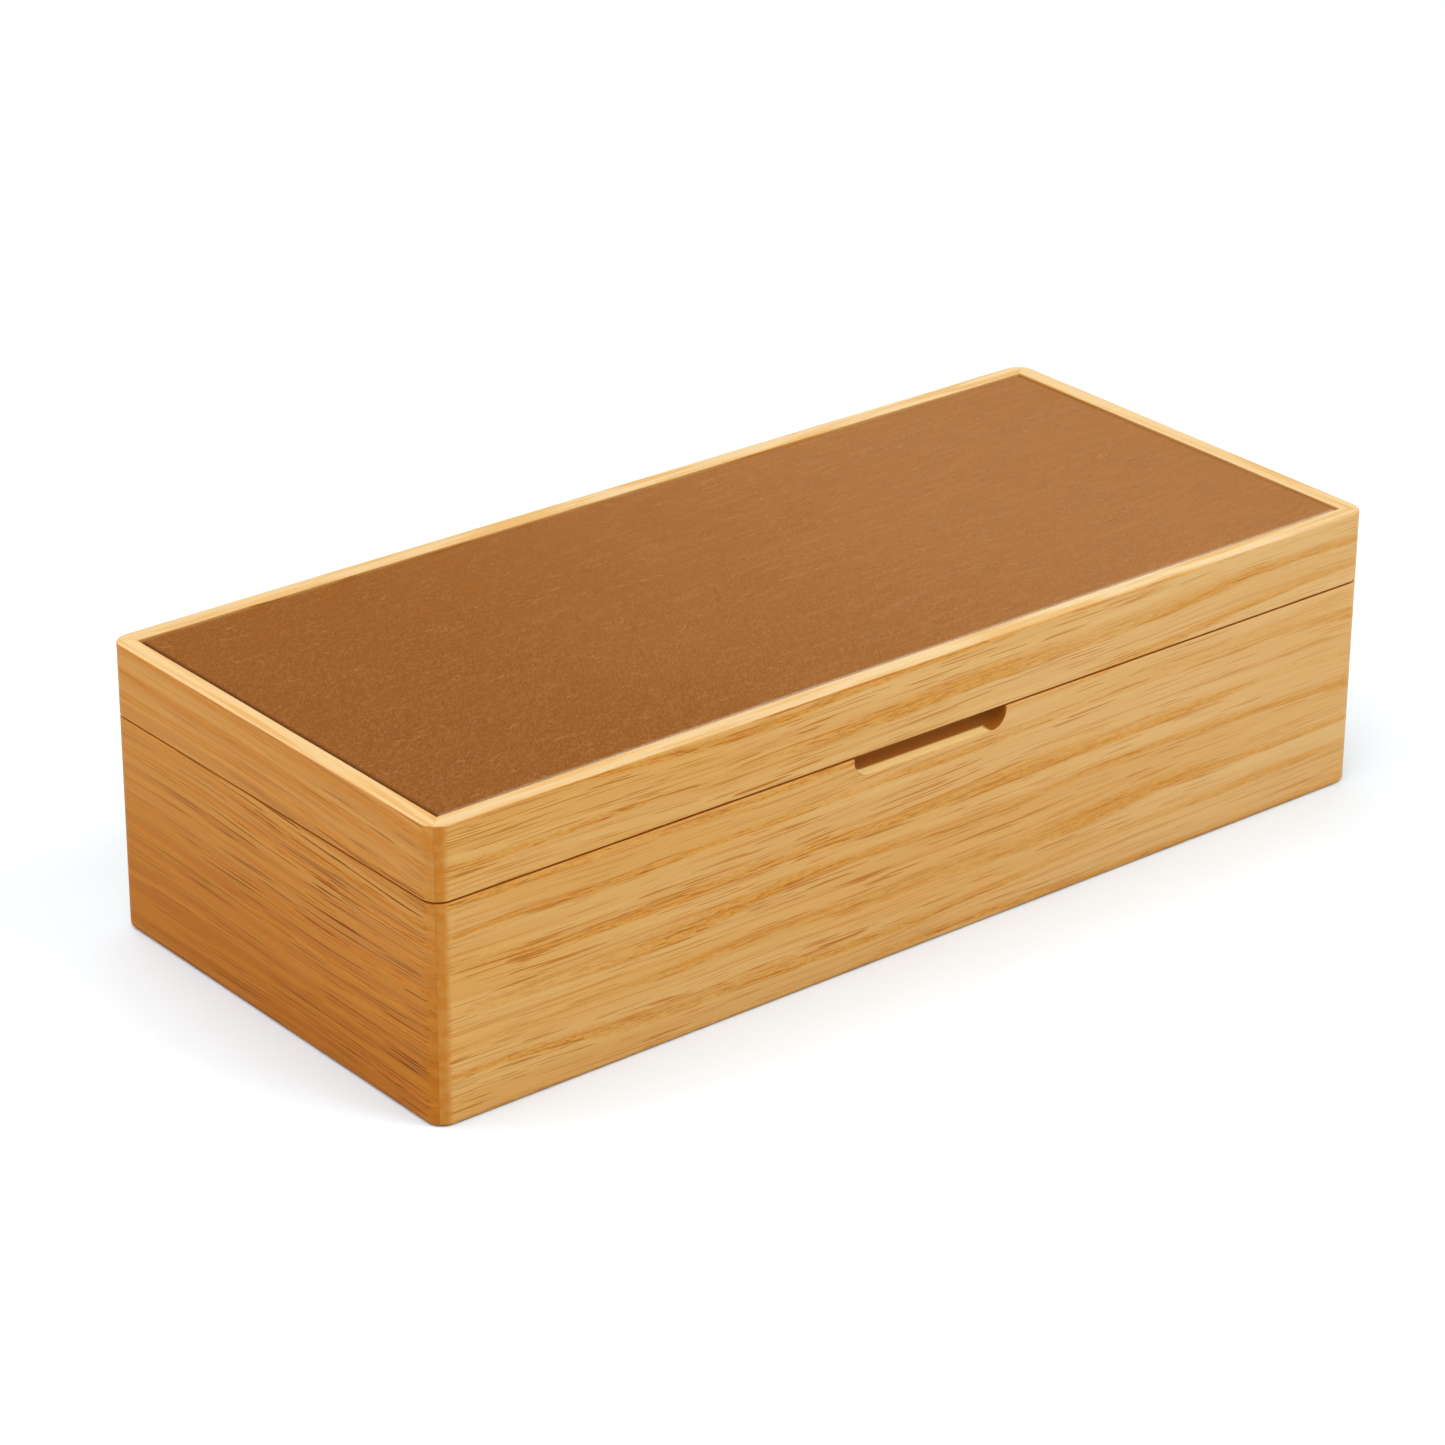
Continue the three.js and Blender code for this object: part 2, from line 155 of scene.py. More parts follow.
def clean(obj, merge=1e-7):
    """Joins doubled points, drops faces with no area and turns every face outward."""
    bm = bmesh.new()
    bm.from_mesh(obj.data)
    bmesh.ops.remove_doubles(bm, verts=bm.verts, dist=merge)
    bmesh.ops.dissolve_degenerate(bm, edges=bm.edges, dist=merge)
    bmesh.ops.recalc_face_normals(bm, faces=bm.faces)
    bm.to_mesh(obj.data)
    bm.free()
    return obj


def apply_modifiers(obj):
    graph = bpy.context.evaluated_depsgraph_get()
    mesh = bpy.data.meshes.new_from_object(obj.evaluated_get(graph))
    obj.modifiers.clear()
    old = obj.data
    mesh.name = obj.name
    obj.data = mesh
    bpy.data.meshes.remove(old)
    return obj


def combine(obj, tool, operation):
    """Joins tool to obj, or cuts it out of obj, and deletes it."""
    modifier = obj.modifiers.new("combine", "BOOLEAN")
    modifier.operation = operation
    modifier.solver = "EXACT"
    modifier.object = tool
    apply_modifiers(obj)
    bpy.data.objects.remove(tool, do_unlink=True)
    return obj


def shade(obj, sharp_degrees=38):
    """Smooth shading that keeps flat faces flat and real edges sharp."""
    mesh = obj.data
    mesh.polygons.foreach_set("use_smooth", [True] * len(mesh.polygons))
    mesh.set_sharp_from_angle(angle=math.radians(sharp_degrees))
    modifier = obj.modifiers.new("normals", "WEIGHTED_NORMAL")
    modifier.keep_sharp = True
    modifier.weight = 100
    return apply_modifiers(obj)


def quarter_turn(steps):
    """The cosine and sine of equal steps from nothing to a right angle."""
    turns = [math.pi / 2 * step / steps for step in range(steps + 1)]
    return [(math.cos(turn), math.sin(turn)) for turn in turns]


def rounded_outline(corners, segments=5):
    """A closed outline from (a, b, radius) corners that all turn by a right angle."""
    outline = []
    count = len(corners)
    for i, (a, b, radius) in enumerate(corners):
        corner = Vector((a, b))
        if radius == 0:
            outline.append(corner)
            continue
        back = (Vector(corners[i - 1][:2]) - corner).normalized()
        ahead = (Vector(corners[(i + 1) % count][:2]) - corner).normalized()
        centre = corner + radius * (back + ahead)
        for cos, sin in quarter_turn(segments):
            outline.append(centre - radius * (ahead * cos + back * sin))
    return outline


def skin(rings):
    """Vertices and faces through rings with the same number of points, closed at both ends."""
    count = len(rings[0])
    vertices = [point for ring in rings for point in ring]
    faces = []
    for row in range(len(rings) - 1):
        for i in range(count):
            j = (i + 1) % count
            a = row * count
            faces.append((a + i, a + j, a + count + j, a + count + i))
    faces.append(tuple(reversed(range(count))))
    faces.append(tuple((len(rings) - 1) * count + i for i in range(count)))
    return vertices, faces


TURNS = {"front": 0, "right": 90, "back": 180, "left": -90}
CORNER_STEPS = 8


def mitred_piece(name, side, profile):
    """One side of a mitred ring: the profile, as (distance in from the outer face, height) points,
    swept from one mitre, round half a corner, along the side and round half a corner."""
    long_side = side in ("front", "back")
    half_run = HALF_LENGTH if long_side else HALF_DEPTH
    half_across = HALF_DEPTH if long_side else HALF_LENGTH
    slip = MITRE_GAP / 2 * math.sqrt(2)

    def station(hand, angle, at_mitre):
        ring = []
        for inset, height in profile:
            if inset < CORNER_RADIUS:
                radius = CORNER_RADIUS - inset
                along = half_run - CORNER_RADIUS + radius * math.sin(angle)
                across = -half_across + CORNER_RADIUS - radius * math.cos(angle)
                along -= slip if at_mitre else 0
            else:
                along = half_run - inset - slip
                across = -half_across + inset
            ring.append(Vector((hand * along, across, height)))
        return ring

    angles = [math.pi / 4 * step / CORNER_STEPS for step in range(CORNER_STEPS + 1)]
    rings = [station(-1, angle, angle == angles[-1]) for angle in reversed(angles)]
    rings += [station(1, angle, angle == angles[-1]) for angle in angles]
    turn = Matrix.Rotation(math.radians(TURNS[side]), 4, "Z")
    vertices, faces = skin(rings)
    return clean(new_object(name, [turn @ v for v in vertices], faces))


def grid_lines(low, high, radius, cell, steps=4):
    """Grid lines that crowd into the rounded zone at both ends."""
    zone = [radius * (1 - cos) for cos, _ in quarter_turn(steps)]
    middle = max(1, round((high - low - 2 * radius) / cell)) if cell else 1
    start, end = low + radius, high - radius
    inner = [start + (end - start) * i / middle for i in range(1, middle)]
    return [low + z for z in zone] + inner + [high - z for z in reversed(zone)]


def rounded_box(name, low, high, radius, cell=0.0, steps=4):
    """A box with rounded edges, on a grid of about one cell."""
    lines = [grid_lines(low[i], high[i], radius, cell if i < 2 else 0, steps) for i in range(3)]
    sizes = [len(line) for line in lines]
    index = {}
    vertices = []

    def vertex(i, j, k):
        key = (i, j, k)
        if key not in index:
            point = Vector((lines[0][i], lines[1][j], lines[2][k]))
            core = Vector(
                min(max(point[a], low[a] + radius), high[a] - radius) for a in range(3)
            )
            index[key] = len(vertices)
            vertices.append(core + radius * (point - core).normalized())
        return index[key]

    faces = []
    for axis in range(3):
        first, second = (axis + 1) % 3, (axis + 2) % 3
        for end in (0, sizes[axis] - 1):
            for i in range(sizes[first] - 1):
                for j in range(sizes[second] - 1):
                    loop = []
                    for di, dj in ((0, 0), (1, 0), (1, 1), (0, 1)):
                        key = [0, 0, 0]
                        key[axis] = end
                        key[first] = i + di
                        key[second] = j + dj
                        loop.append(vertex(*key))
                    faces.append(loop if end else loop[::-1])
    return clean(new_object(name, vertices, faces), merge=1e-8)


def plain_box(low, high):
    corners = list(itertools.product(*zip(low, high)))
    faces = [(0, 1, 3, 2), (4, 6, 7, 5), (0, 4, 5, 1), (2, 3, 7, 6), (0, 2, 6, 4), (1, 5, 7, 3)]
    return clean(new_object("tool", corners, faces))


def lathe(name, profile, axis="Z", segments=48):
    """A solid of revolution from (radius, height) points that start and end on the axis."""
    rings = []
    for radius, height in profile:
        ring = []
        for i in range(segments):
            turn = 2 * math.pi * i / segments
            ring.append(Vector((radius * math.cos(turn), radius * math.sin(turn), height)))
        rings.append(ring)
    vertices, faces = skin(rings)
    if axis == "X":
        vertices = [Vector((v.z, v.x, v.y)) for v in vertices]
    return clean(new_object(name, vertices, faces))


def rod_along_x(radius, low, high, y, z, easing=0.0):
    profile = [(0, low), (radius - easing, low), (radius, low + easing)]
    profile += [(radius, high - easing), (radius - easing, high), (0, high)]
    return move(lathe("tool", profile, axis="X"), (0, y, z))


def move(obj, offset):
    obj.data.transform(Matrix.Translation(offset))
    return obj


def extrude_outline(name, outline, low, high, to_point):
    """A prism: the outline's (a, b) points at two depths, placed by to_point(a, b, depth)."""
    rings = [[to_point(a, b, depth) for a, b in outline] for depth in (low, high)]
    vertices, faces = skin(rings)
    return clean(new_object(name, vertices, faces))


# ======== Materials ========
class Nodes:
    """A short way to build a node tree. A value is a number, a colour or another node's socket."""

    def __init__(self, name):
        self.material = bpy.data.materials.new(name)
        self.material.use_nodes = True
        self.tree = self.material.node_tree
        self.tree.nodes.clear()
        output = self.tree.nodes.new("ShaderNodeOutputMaterial")
        self.shader = self.tree.nodes.new("ShaderNodeBsdfPrincipled")
        self.tree.links.new(self.shader.outputs[0], output.inputs["Surface"])

    def link(self, value, socket):
        if isinstance(value, bpy.types.NodeSocket):
            self.tree.links.new(value, socket)
        else:
            socket.default_value = value

    def coordinates(self, kind="Object"):
        return self.tree.nodes.new("ShaderNodeTexCoord").outputs[kind]

    def scaled(self, vector, scale, offset=(0, 0, 0), rotation=(0, 0, 0)):
        node = self.tree.nodes.new("ShaderNodeMapping")
        self.link(vector, node.inputs["Vector"])
        node.inputs["Scale"].default_value = scale
        node.inputs["Location"].default_value = offset
        node.inputs["Rotation"].default_value = rotation
        return node.outputs[0]

    def noise(self, vector, detail=2.0, roughness=0.5, distortion=0.0):
        node = self.tree.nodes.new("ShaderNodeTexNoise")
        self.link(vector, node.inputs["Vector"])
        node.inputs["Scale"].default_value = 1.0
        node.inputs["Detail"].default_value = detail
        node.inputs["Roughness"].default_value = roughness
        node.inputs["Distortion"].default_value = distortion
        return node.outputs

    def math(self, operation, first, *others):
        """One operation on a value alone, or on a row of values from left to right."""
        for other in others or (0.0,):
            node = self.tree.nodes.new("ShaderNodeMath")
            node.operation = operation
            self.link(first, node.inputs[0])
            self.link(other, node.inputs[1])
            first = node.outputs[0]
        return first

    def product(self, *values):
        return self.math("MULTIPLY", *values)

    def total(self, *values):
        return self.math("ADD", *values)

    def largest(self, *values):
        return self.math("MAXIMUM", *values)

    def distance(self, value, middle=0.0):
        """How far the value is from the middle, on either side."""
        if middle:
            value = self.math("SUBTRACT", value, middle)
        return self.math("ABSOLUTE", value)

    def above(self, value, limit):
        return self.math("GREATER_THAN", value, limit)

    def below(self, value, limit):
        return self.math("LESS_THAN", value, limit)

    def split(self, vector):
        node = self.tree.nodes.new("ShaderNodeSeparateXYZ")
        self.link(vector, node.inputs[0])
        return node.outputs

    def vector_math(self, operation, a, b):
        node = self.tree.nodes.new("ShaderNodeVectorMath")
        node.operation = operation
        self.link(a, node.inputs[0])
        self.link(b, node.inputs[1])
        return node.outputs[0]

    def fade(self, value, low, high, to_low=0.0, to_high=1.0):
        """value from low to high becomes to_low to to_high, with a soft start and end."""
        node = self.tree.nodes.new("ShaderNodeMapRange")
        node.interpolation_type = "SMOOTHSTEP"
        self.link(value, node.inputs["Value"])
        node.inputs["From Min"].default_value = low
        node.inputs["From Max"].default_value = high
        node.inputs["To Min"].default_value = to_low
        node.inputs["To Max"].default_value = to_high
        return node.outputs[0]

    def mix(self, factor, a, b):
        node = self.tree.nodes.new("ShaderNodeMix")
        node.data_type = "RGBA"
        self.link(factor, node.inputs["Factor"])
        self.link(a, node.inputs["A"])
        self.link(b, node.inputs["B"])
        return node.outputs["Result"]

    def finish(self, colour, roughness, height, strength, distance):
        """Gives the shader its colour, its roughness and bumps: a height of 1 is the distance."""
        node = self.tree.nodes.new("ShaderNodeBump")
        node.inputs["Strength"].default_value = strength
        node.inputs["Distance"].default_value = distance
        self.link(height, node.inputs["Height"])
        self.link(colour, self.shader.inputs["Base Color"])
        self.link(roughness, self.shader.inputs["Roughness"])
        self.link(node.outputs[0], self.shader.inputs["Normal"])


def rgb(red, green, blue):
    """A colour from its linear parts."""
    return (red, green, blue, 1.0)


def blend(first, second, share):
    """A colour that is the share of the way from the first to the second."""
    return tuple(a + (b - a) * share for a, b in zip(first, second))


# ---- Oak: linear colours ----
OAK_LIGHT = (0.626, 0.370, 0.128)
OAK_PORES = (0.585, 0.282, 0.056)
OAK_LINE = (0.480, 0.178, 0.026)
OAK_FLECK = (0.560, 0.195, 0.008)
OAK_DARK = (0.330, 0.088, 0.004)
# Painted shade, low down on a side board.
OAK_LOW_SHADE = (0.465, 0.196, 0.010)
# Painted light, which pales a board.
OAK_PAINTED_LIGHT = (0.690, 0.450, 0.200)
# Painted shade on a board's rounded near corner.
OAK_CORNER_SHADE = (0.480, 0.170, 0.018)
OAK_PALE = (0.620, 0.437, 0.222)
OAK_PALE_STREAK = (0.580, 0.340, 0.115)
# Painted light on the top face.
OAK_PALE_LIT = (0.690, 0.545, 0.320)
# Painted shade in the seam between base and lid.
OAK_SEAM_SHADE = rgb(0.450, 0.135, 0.006)
# Painted light on the notch's floor.
OAK_NOTCH_LIGHT = rgb(0.940, 0.690, 0.290)
# Painted shade on the notch's back and right end.
OAK_NOTCH_SHADE = rgb(0.310, 0.084, 0.0)

# ---- Oak: the length, depth and height in millimetres of one patch of each layer ----
WANDER = (170, 60, 55)
RING_DRIFT = (100, 10, 12)
RING_EDGE = (9, 2, 1.2)
POROUS_PATCH = (70, 14, 8)
CLOUD = (110, 24, 9)
STRIPE = (180, 24, 2.8)
# Patches of the painted light.
PAINTED_LIGHT_PATCH = (90, 24, 10)
FIBRE = (26, 1.5, 0.36)
LINE = (46, 1.6, 0.75)
STROKE = (16, 0.9, 0.42)
STROKE_CROWD = (46, 8, 5)
FLECK = (1.3, 0.5, 0.30)
DASH = (4.5, 0.5, 0.30)
BLOTCH = (4, 2.5, 2.5)
PALE_STREAK = (34, 2.0, 1.5)

# ---- Oak: how the layers are laid ----
MILLIMETRES = (1000, 1000, 1000)  # the scale that turns metres into millimetres
RIFT_ANGLE = math.radians(28)
SEED_STEP = (370, 11, 23)
WANDER_HEIGHT = 11.0
RING_DRIFT_SHARE = 1.3
RING_EDGE_SHARE = 0.14
POROUS_SHARE = 0.85
FLECK_SHARE = 0.85
DASH_SHARE = 0.80
PALE_STROKE_SHARE = 0.20
PALE_WARMTH = 0.35
STROKE_WARMTH = 0.3
GREEN_LOST_TO_WARMTH = 0.28
BLUE_LOST_TO_WARMTH = 0.68
# Painted light on the notch's floor, and painted shade on its back and right end.
NOTCH_LIGHT_SHARE = 0.9
NOTCH_LIGHT_FROM = 0.05 * MM
NOTCH_LIGHT_FULLY_FROM = 0.5 * MM
NOTCH_SHADE_SHARE = 0.95
NOTCH_SHADE_FROM = 2.7 * MM
NOTCH_SHADE_FULLY_FROM = 3.4 * MM
NOTCH_SHADE_END = 5.6 * MM
NOTCH_SHADE_END_FULLY = 4.4 * MM
NOTCH_PAINT_PAST = 0.05 * MM
NOTCH_PAINT_SHORT = 0.04 * MM
FLECK_DEPTH = -0.3
DASH_DEPTH = -0.5
FIBRE_HEIGHT = 0.35
OAK_BUMP = 0.20
OAK_BUMP_HEIGHT = 0.04 * MM
FINISH_IOR = 1.42
OAK_SPECULAR = 0.1
TOP_FACE_LOW = HEIGHT - 3 * MM
# How far in from the outer faces the seam's painted shade reaches.
SEAM_SHADE_REACH = 1.6 * MM


def toned(colour, tone, warmth):
    """A board's own version of an oak colour: darker by tone, and more orange by warmth."""
    red, green, blue = (part * tone for part in colour)
    green *= 1 - GREEN_LOST_TO_WARMTH * warmth
    blue *= 1 - BLUE_LOST_TO_WARMTH * warmth
    return rgb(red, green, blue)


def painted_seam_shade(n, colour, place_in_case, facing, seam_shade):
    """Painted shade darkens the outer edge of the seam between base and lid."""
    x, y, z = place_in_case
    near_side = n.above(n.distance(x), HALF_LENGTH - SEAM_SHADE_REACH)
    near_front = n.above(n.distance(y), HALF_DEPTH - SEAM_SHADE_REACH)
    in_seam = n.below(n.distance(z, LID_BOTTOM), SEAM_EASING)
    flat = n.fade(n.distance(facing["Z"]), 0.75, 0.97)
    share = n.product(in_seam, n.largest(near_side, near_front), flat, seam_shade)
    return n.mix(share, colour, OAK_SEAM_SHADE)


def painted_notch_light_and_shade(n, colour, place_in_case, facing):
    """Painted light pales the notch's floor, and painted shade darkens its back and right end."""
    x, y, z = place_in_case
    # The painted light and shade reach a little past the notch's faces and stop a little short of
    # the wall's.
    inside = n.product(
        n.below(n.distance(x), NOTCH_HALF + NOTCH_PAINT_PAST),
        n.below(z, BASE_TOP - NOTCH_PAINT_SHORT / 2),
        n.above(z, BASE_TOP - NOTCH_DROP - 2 * NOTCH_PAINT_PAST),
        n.below(y, NOTCH_DEPTH + NOTCH_PAINT_PAST - HALF_DEPTH),
        n.above(y, NOTCH_PAINT_SHORT - HALF_DEPTH),
    )
    behind_face = n.fade(y, NOTCH_LIGHT_FROM - HALF_DEPTH, NOTCH_LIGHT_FULLY_FROM - HALF_DEPTH)
    colour = n.mix(n.product(inside, behind_face, NOTCH_LIGHT_SHARE), colour, OAK_NOTCH_LIGHT)
    notch_shade = n.largest(
        n.fade(facing["Z"], 0.35, 0.85, 1.0, 0.0),
        n.fade(facing["X"], -0.55, -0.2, 1.0, 0.0),
        n.fade(y, NOTCH_SHADE_FROM - HALF_DEPTH, NOTCH_SHADE_FULLY_FROM - HALF_DEPTH),
        n.fade(x, NOTCH_HALF - NOTCH_SHADE_END, NOTCH_HALF - NOTCH_SHADE_END_FULLY),
    )
    return n.mix(n.product(inside, notch_shade, NOTCH_SHADE_SHARE), colour, OAK_NOTCH_SHADE)


def oak(
    name, run, seed, tilt=0.0, tone=1.0, warmth=0.0, ring_width=8.5, corner_shade=0.5, inked=0.1,
    stretch=1.0, seam_shade=0.0, lit_towards="X", notched=False,
):
    """Rift-sawn oak with its grain along the run axis, X or Y.

    seed and tilt give a board its own piece of the pattern. tone and warmth shift its colours,
    ring_width is in millimetres, stretch lengthens the pattern, and inked darkens its fine strokes.
    corner_shade and seam_shade are how far painted shade darkens the near corner and the seam;
    painted light pales the wood along lit_towards, X or Z, and on Z painted shade darkens it low
    down.
    """
    n = Nodes(name)
    place_in_case = n.coordinates()
    turned = n.scaled(place_in_case, MILLIMETRES, rotation=(0, 0, 0 if run == "X" else math.pi / 2))
    straight = n.scaled(
        turned,
        (1, 1, 1),
        offset=tuple(step * seed for step in SEED_STEP),
        rotation=(RIFT_ANGLE, tilt, 0),
    )
    place_in_case = n.split(place_in_case)
    facing = n.split(n.coordinates("Normal"))

    def field(size, detail=1.5, roughness=0.45, vector=None):
        """Noise stretched along the grain: size is the length, depth and height of one patch."""
        scale = tuple(1 / part for part in size)
        return n.noise(n.scaled(vector or grain, scale), detail=detail, roughness=roughness)["Fac"]

    def tint(factor, colour, towards):
        return n.mix(factor, colour, toned(towards, tone, warmth))

    # How much of the fine marks shows, and how dark they are.
    crowd_end = 0.62 - 0.08 * inked
    crowd_share = 0.35 + 0.25 * inked
    stripe_share = 0.11 + 0.46 * inked
    line_share = 0.45 + 0.35 * inked
    stroke_tone = tone * (1 - 0.45 * inked)
    stripe = blend(OAK_LINE, OAK_DARK, 0.6 * inked)
    ink = toned(blend(OAK_LINE, OAK_DARK, inked), stroke_tone, STROKE_WARMTH * warmth)

    # Slow waves make the grain wander; every finer layer is drawn in the wandering coordinates.
    wander = n.math("SUBTRACT", field(WANDER, detail=2.0, vector=straight), 0.5)
    across = n.tree.nodes.new("ShaderNodeCombineXYZ")
    n.link(n.product(wander, WANDER_HEIGHT), across.inputs["Z"])
    grain = n.vector_math("ADD", straight, across.outputs[0])
    height = n.split(grain)["Z"]
    grain = n.scaled(grain, (1 / stretch, 1, 1))

    # One growth ring: a sharp start, a porous zone that dies away, then smooth wood.
    drift = n.product(field(RING_DRIFT), RING_DRIFT_SHARE)
    ragged = n.product(field(RING_EDGE, detail=3.0), RING_EDGE_SHARE)
    rings = n.total(n.math("DIVIDE", height, ring_width), n.total(drift, ragged))
    phase = n.math("FRACT", rings)
    porous = n.product(
        n.fade(phase, 0.0, 0.10),
        n.fade(phase, 0.10, 0.48, 1.0, 0.0),
        n.fade(field(POROUS_PATCH), 0.32, 0.60, 0.35, 1.0),
    )

    # Open pores cut lengthwise: fine strokes everywhere, short dark dashes in the porous zone.
    # They are clearest at the near end of a board, on its face, and on a side board below the lid.
    if run == "X":
        crisp = n.fade(place_in_case["X"], -0.5 * HALF_LENGTH, HALF_LENGTH, 1.0, 0.45)
    else:
        crisp = n.product(
            n.fade(place_in_case["Y"], -0.5 * HALF_DEPTH, HALF_DEPTH, 1.0, 0.40),
            n.fade(place_in_case["Z"], 0.70 * HEIGHT, 0.82 * HEIGHT, 1.0, 0.5),
        )
    crisp = n.product(crisp, n.fade(n.distance(facing[run]), 0.05, 0.50, 1.0, 0.35))
    crowded = n.fade(field(STROKE_CROWD), 0.36, crowd_end, crowd_share, 1.0)
    strokes = n.product(n.fade(field(STROKE, detail=1.0), 0.595, 0.645), crowded, crisp)
    lines = n.product(n.fade(field(LINE), 0.56, 0.68), crisp)
    fleck = n.product(n.fade(field(FLECK, detail=2.0), 0.50, 0.64), porous, crisp)
    dash = n.product(n.fade(field(DASH, detail=2.5), 0.55, 0.66), porous, crisp)
    fibre = field(FIBRE, detail=3.0, roughness=0.65)

    # Broad changes of colour come first, and the fine marks lie over them.
    base = toned(OAK_LIGHT, tone, warmth)
    colour = tint(n.fade(field(CLOUD), 0.34, 0.66, 0.0, 0.55), base, OAK_PORES)
    colour = tint(n.fade(fibre, 0.3, 0.75, 0.0, 0.45), colour, OAK_PORES)
    # Painted shade darkens a side board low down; painted light pales a board upwards or towards
    # +X.
    if lit_towards == "Z":
        low_shade = n.fade(place_in_case["Z"], 0.3 * HEIGHT, 0.95 * HEIGHT, 0.78, 0.05)
        colour = tint(low_shade, colour, OAK_LOW_SHADE)
        painted_light = n.fade(place_in_case["Z"], 0.0, HEIGHT, 0.0, 0.36)
    else:
        painted_light = n.fade(place_in_case["X"], -HALF_LENGTH, HALF_LENGTH, 0.0, 0.46)
    stripes = n.fade(field(STRIPE, detail=2.0), 0.40, 0.60, 0.0, stripe_share)
    colour = tint(stripes, colour, stripe)
    # The painted light comes in patches and pales the wood.
    painted_light = n.product(painted_light, n.fade(field(PAINTED_LIGHT_PATCH), 0.35, 0.65, 0.70, 1.30))
    colour = tint(painted_light, colour, OAK_PAINTED_LIGHT)
    colour = tint(n.product(porous, POROUS_SHARE), colour, OAK_PORES)
    colour = tint(n.product(lines, line_share), colour, OAK_LINE)
    colour = n.mix(strokes, colour, ink)
    colour = tint(n.product(fleck, FLECK_SHARE), colour, OAK_FLECK)
    colour = tint(n.product(dash, DASH_SHARE), colour, OAK_DARK)

    # Painted shade darkens the rounded corner at a board's near end, in blotches like end grain.
    blotches = n.fade(field(BLOTCH, detail=3.0), 0.35, 0.65, 0.72, 1.0)
    rounded = n.fade(n.product(facing[run], -1.0), 0.02, 0.45, 0.0, corner_shade)
    colour = tint(n.product(rounded, blotches), colour, OAK_CORNER_SHADE)
    # Painted shade darkens the seam.
    colour = painted_seam_shade(n, colour, place_in_case, facing, seam_shade)
    # A notched board gets painted light on the notch's floor and painted shade on its back.
    if notched:
        colour = painted_notch_light_and_shade(n, colour, place_in_case, facing)

    # The lid's narrow top face is a paler cut, with painted sheen where it faces up.
    paler, pale_lit, streaked = (
        toned(part, 1.0, PALE_WARMTH * warmth) for part in (OAK_PALE, OAK_PALE_LIT, OAK_PALE_STREAK)
    )
    streaks = n.fade(field(PALE_STREAK, detail=3.0), 0.42, 0.62, 0.0, 0.85)
    pale = n.mix(streaks, n.mix(painted_light, paler, pale_lit), streaked)
    pale = tint(n.product(strokes, PALE_STROKE_SHARE), pale, OAK_LINE)
    upward = n.fade(facing["Z"], 0.55, 0.95)
    on_top = n.fade(place_in_case["Z"], TOP_FACE_LOW, HEIGHT)
    colour = n.mix(n.product(upward, on_top), colour, pale)

    depth = n.total(
        n.product(dash, DASH_DEPTH),
        n.product(fleck, FLECK_DEPTH),
        n.product(fibre, FIBRE_HEIGHT),
    )
    n.finish(colour, n.fade(fibre, 0.2, 0.8, 0.46, 0.60), depth, OAK_BUMP, OAK_BUMP_HEIGHT)
    n.shader.inputs["IOR"].default_value = FINISH_IOR
    n.shader.inputs["Specular IOR Level"].default_value = OAK_SPECULAR
    return n.material


# ---- Leather: linear colours, and patterns in millimetres ----
LEATHER_LIGHT = rgb(0.262, 0.096, 0.018)
LEATHER_DARK = rgb(0.200, 0.062, 0.008)
LEATHER_CREASE = rgb(0.430, 0.205, 0.070)
# Painted sheen, also the colour of the leather's streaks.
LEATHER_SHEEN_AND_STREAK = rgb(0.350, 0.158, 0.056)
# Painted highlight on the leather's front edge.
LEATHER_EDGE_HIGHLIGHT = rgb(0.450, 0.340, 0.230)
LEATHER_SHADE = rgb(0.070, 0.018, 0.001)
LEATHER_CLOUD = 60
LEATHER_PATCH = 13
LEATHER_PORE = 0.7
LEATHER_WARP_PATCH = 4
LEATHER_WARP = 1.5
# Each pattern's angle in degrees, length and spacing. A crease's width is a share of the noise.
RIDGES = ((-38, 1.9, 0.58), (-60, 1.7, 0.58))
CREASES = ((-24, 6.0, 2.6, 0.011), (3, 14.0, 2.8, 0.013))
STREAKS = (-4, 16.0, 1.3)
RIDGE_DETAIL = 0.3
RIDGE_MIDDLE = 0.55
RIDGE_SHARE = 0.15
CREASE_SHARE = 0.38
CREASE_HEIGHT = 0.12
PORE_HEIGHT = 0.10
LEATHER_BUMP = 1.0
LEATHER_BUMP_HEIGHT = 0.62 * MM
LEATHER_SPECULAR = 0.06


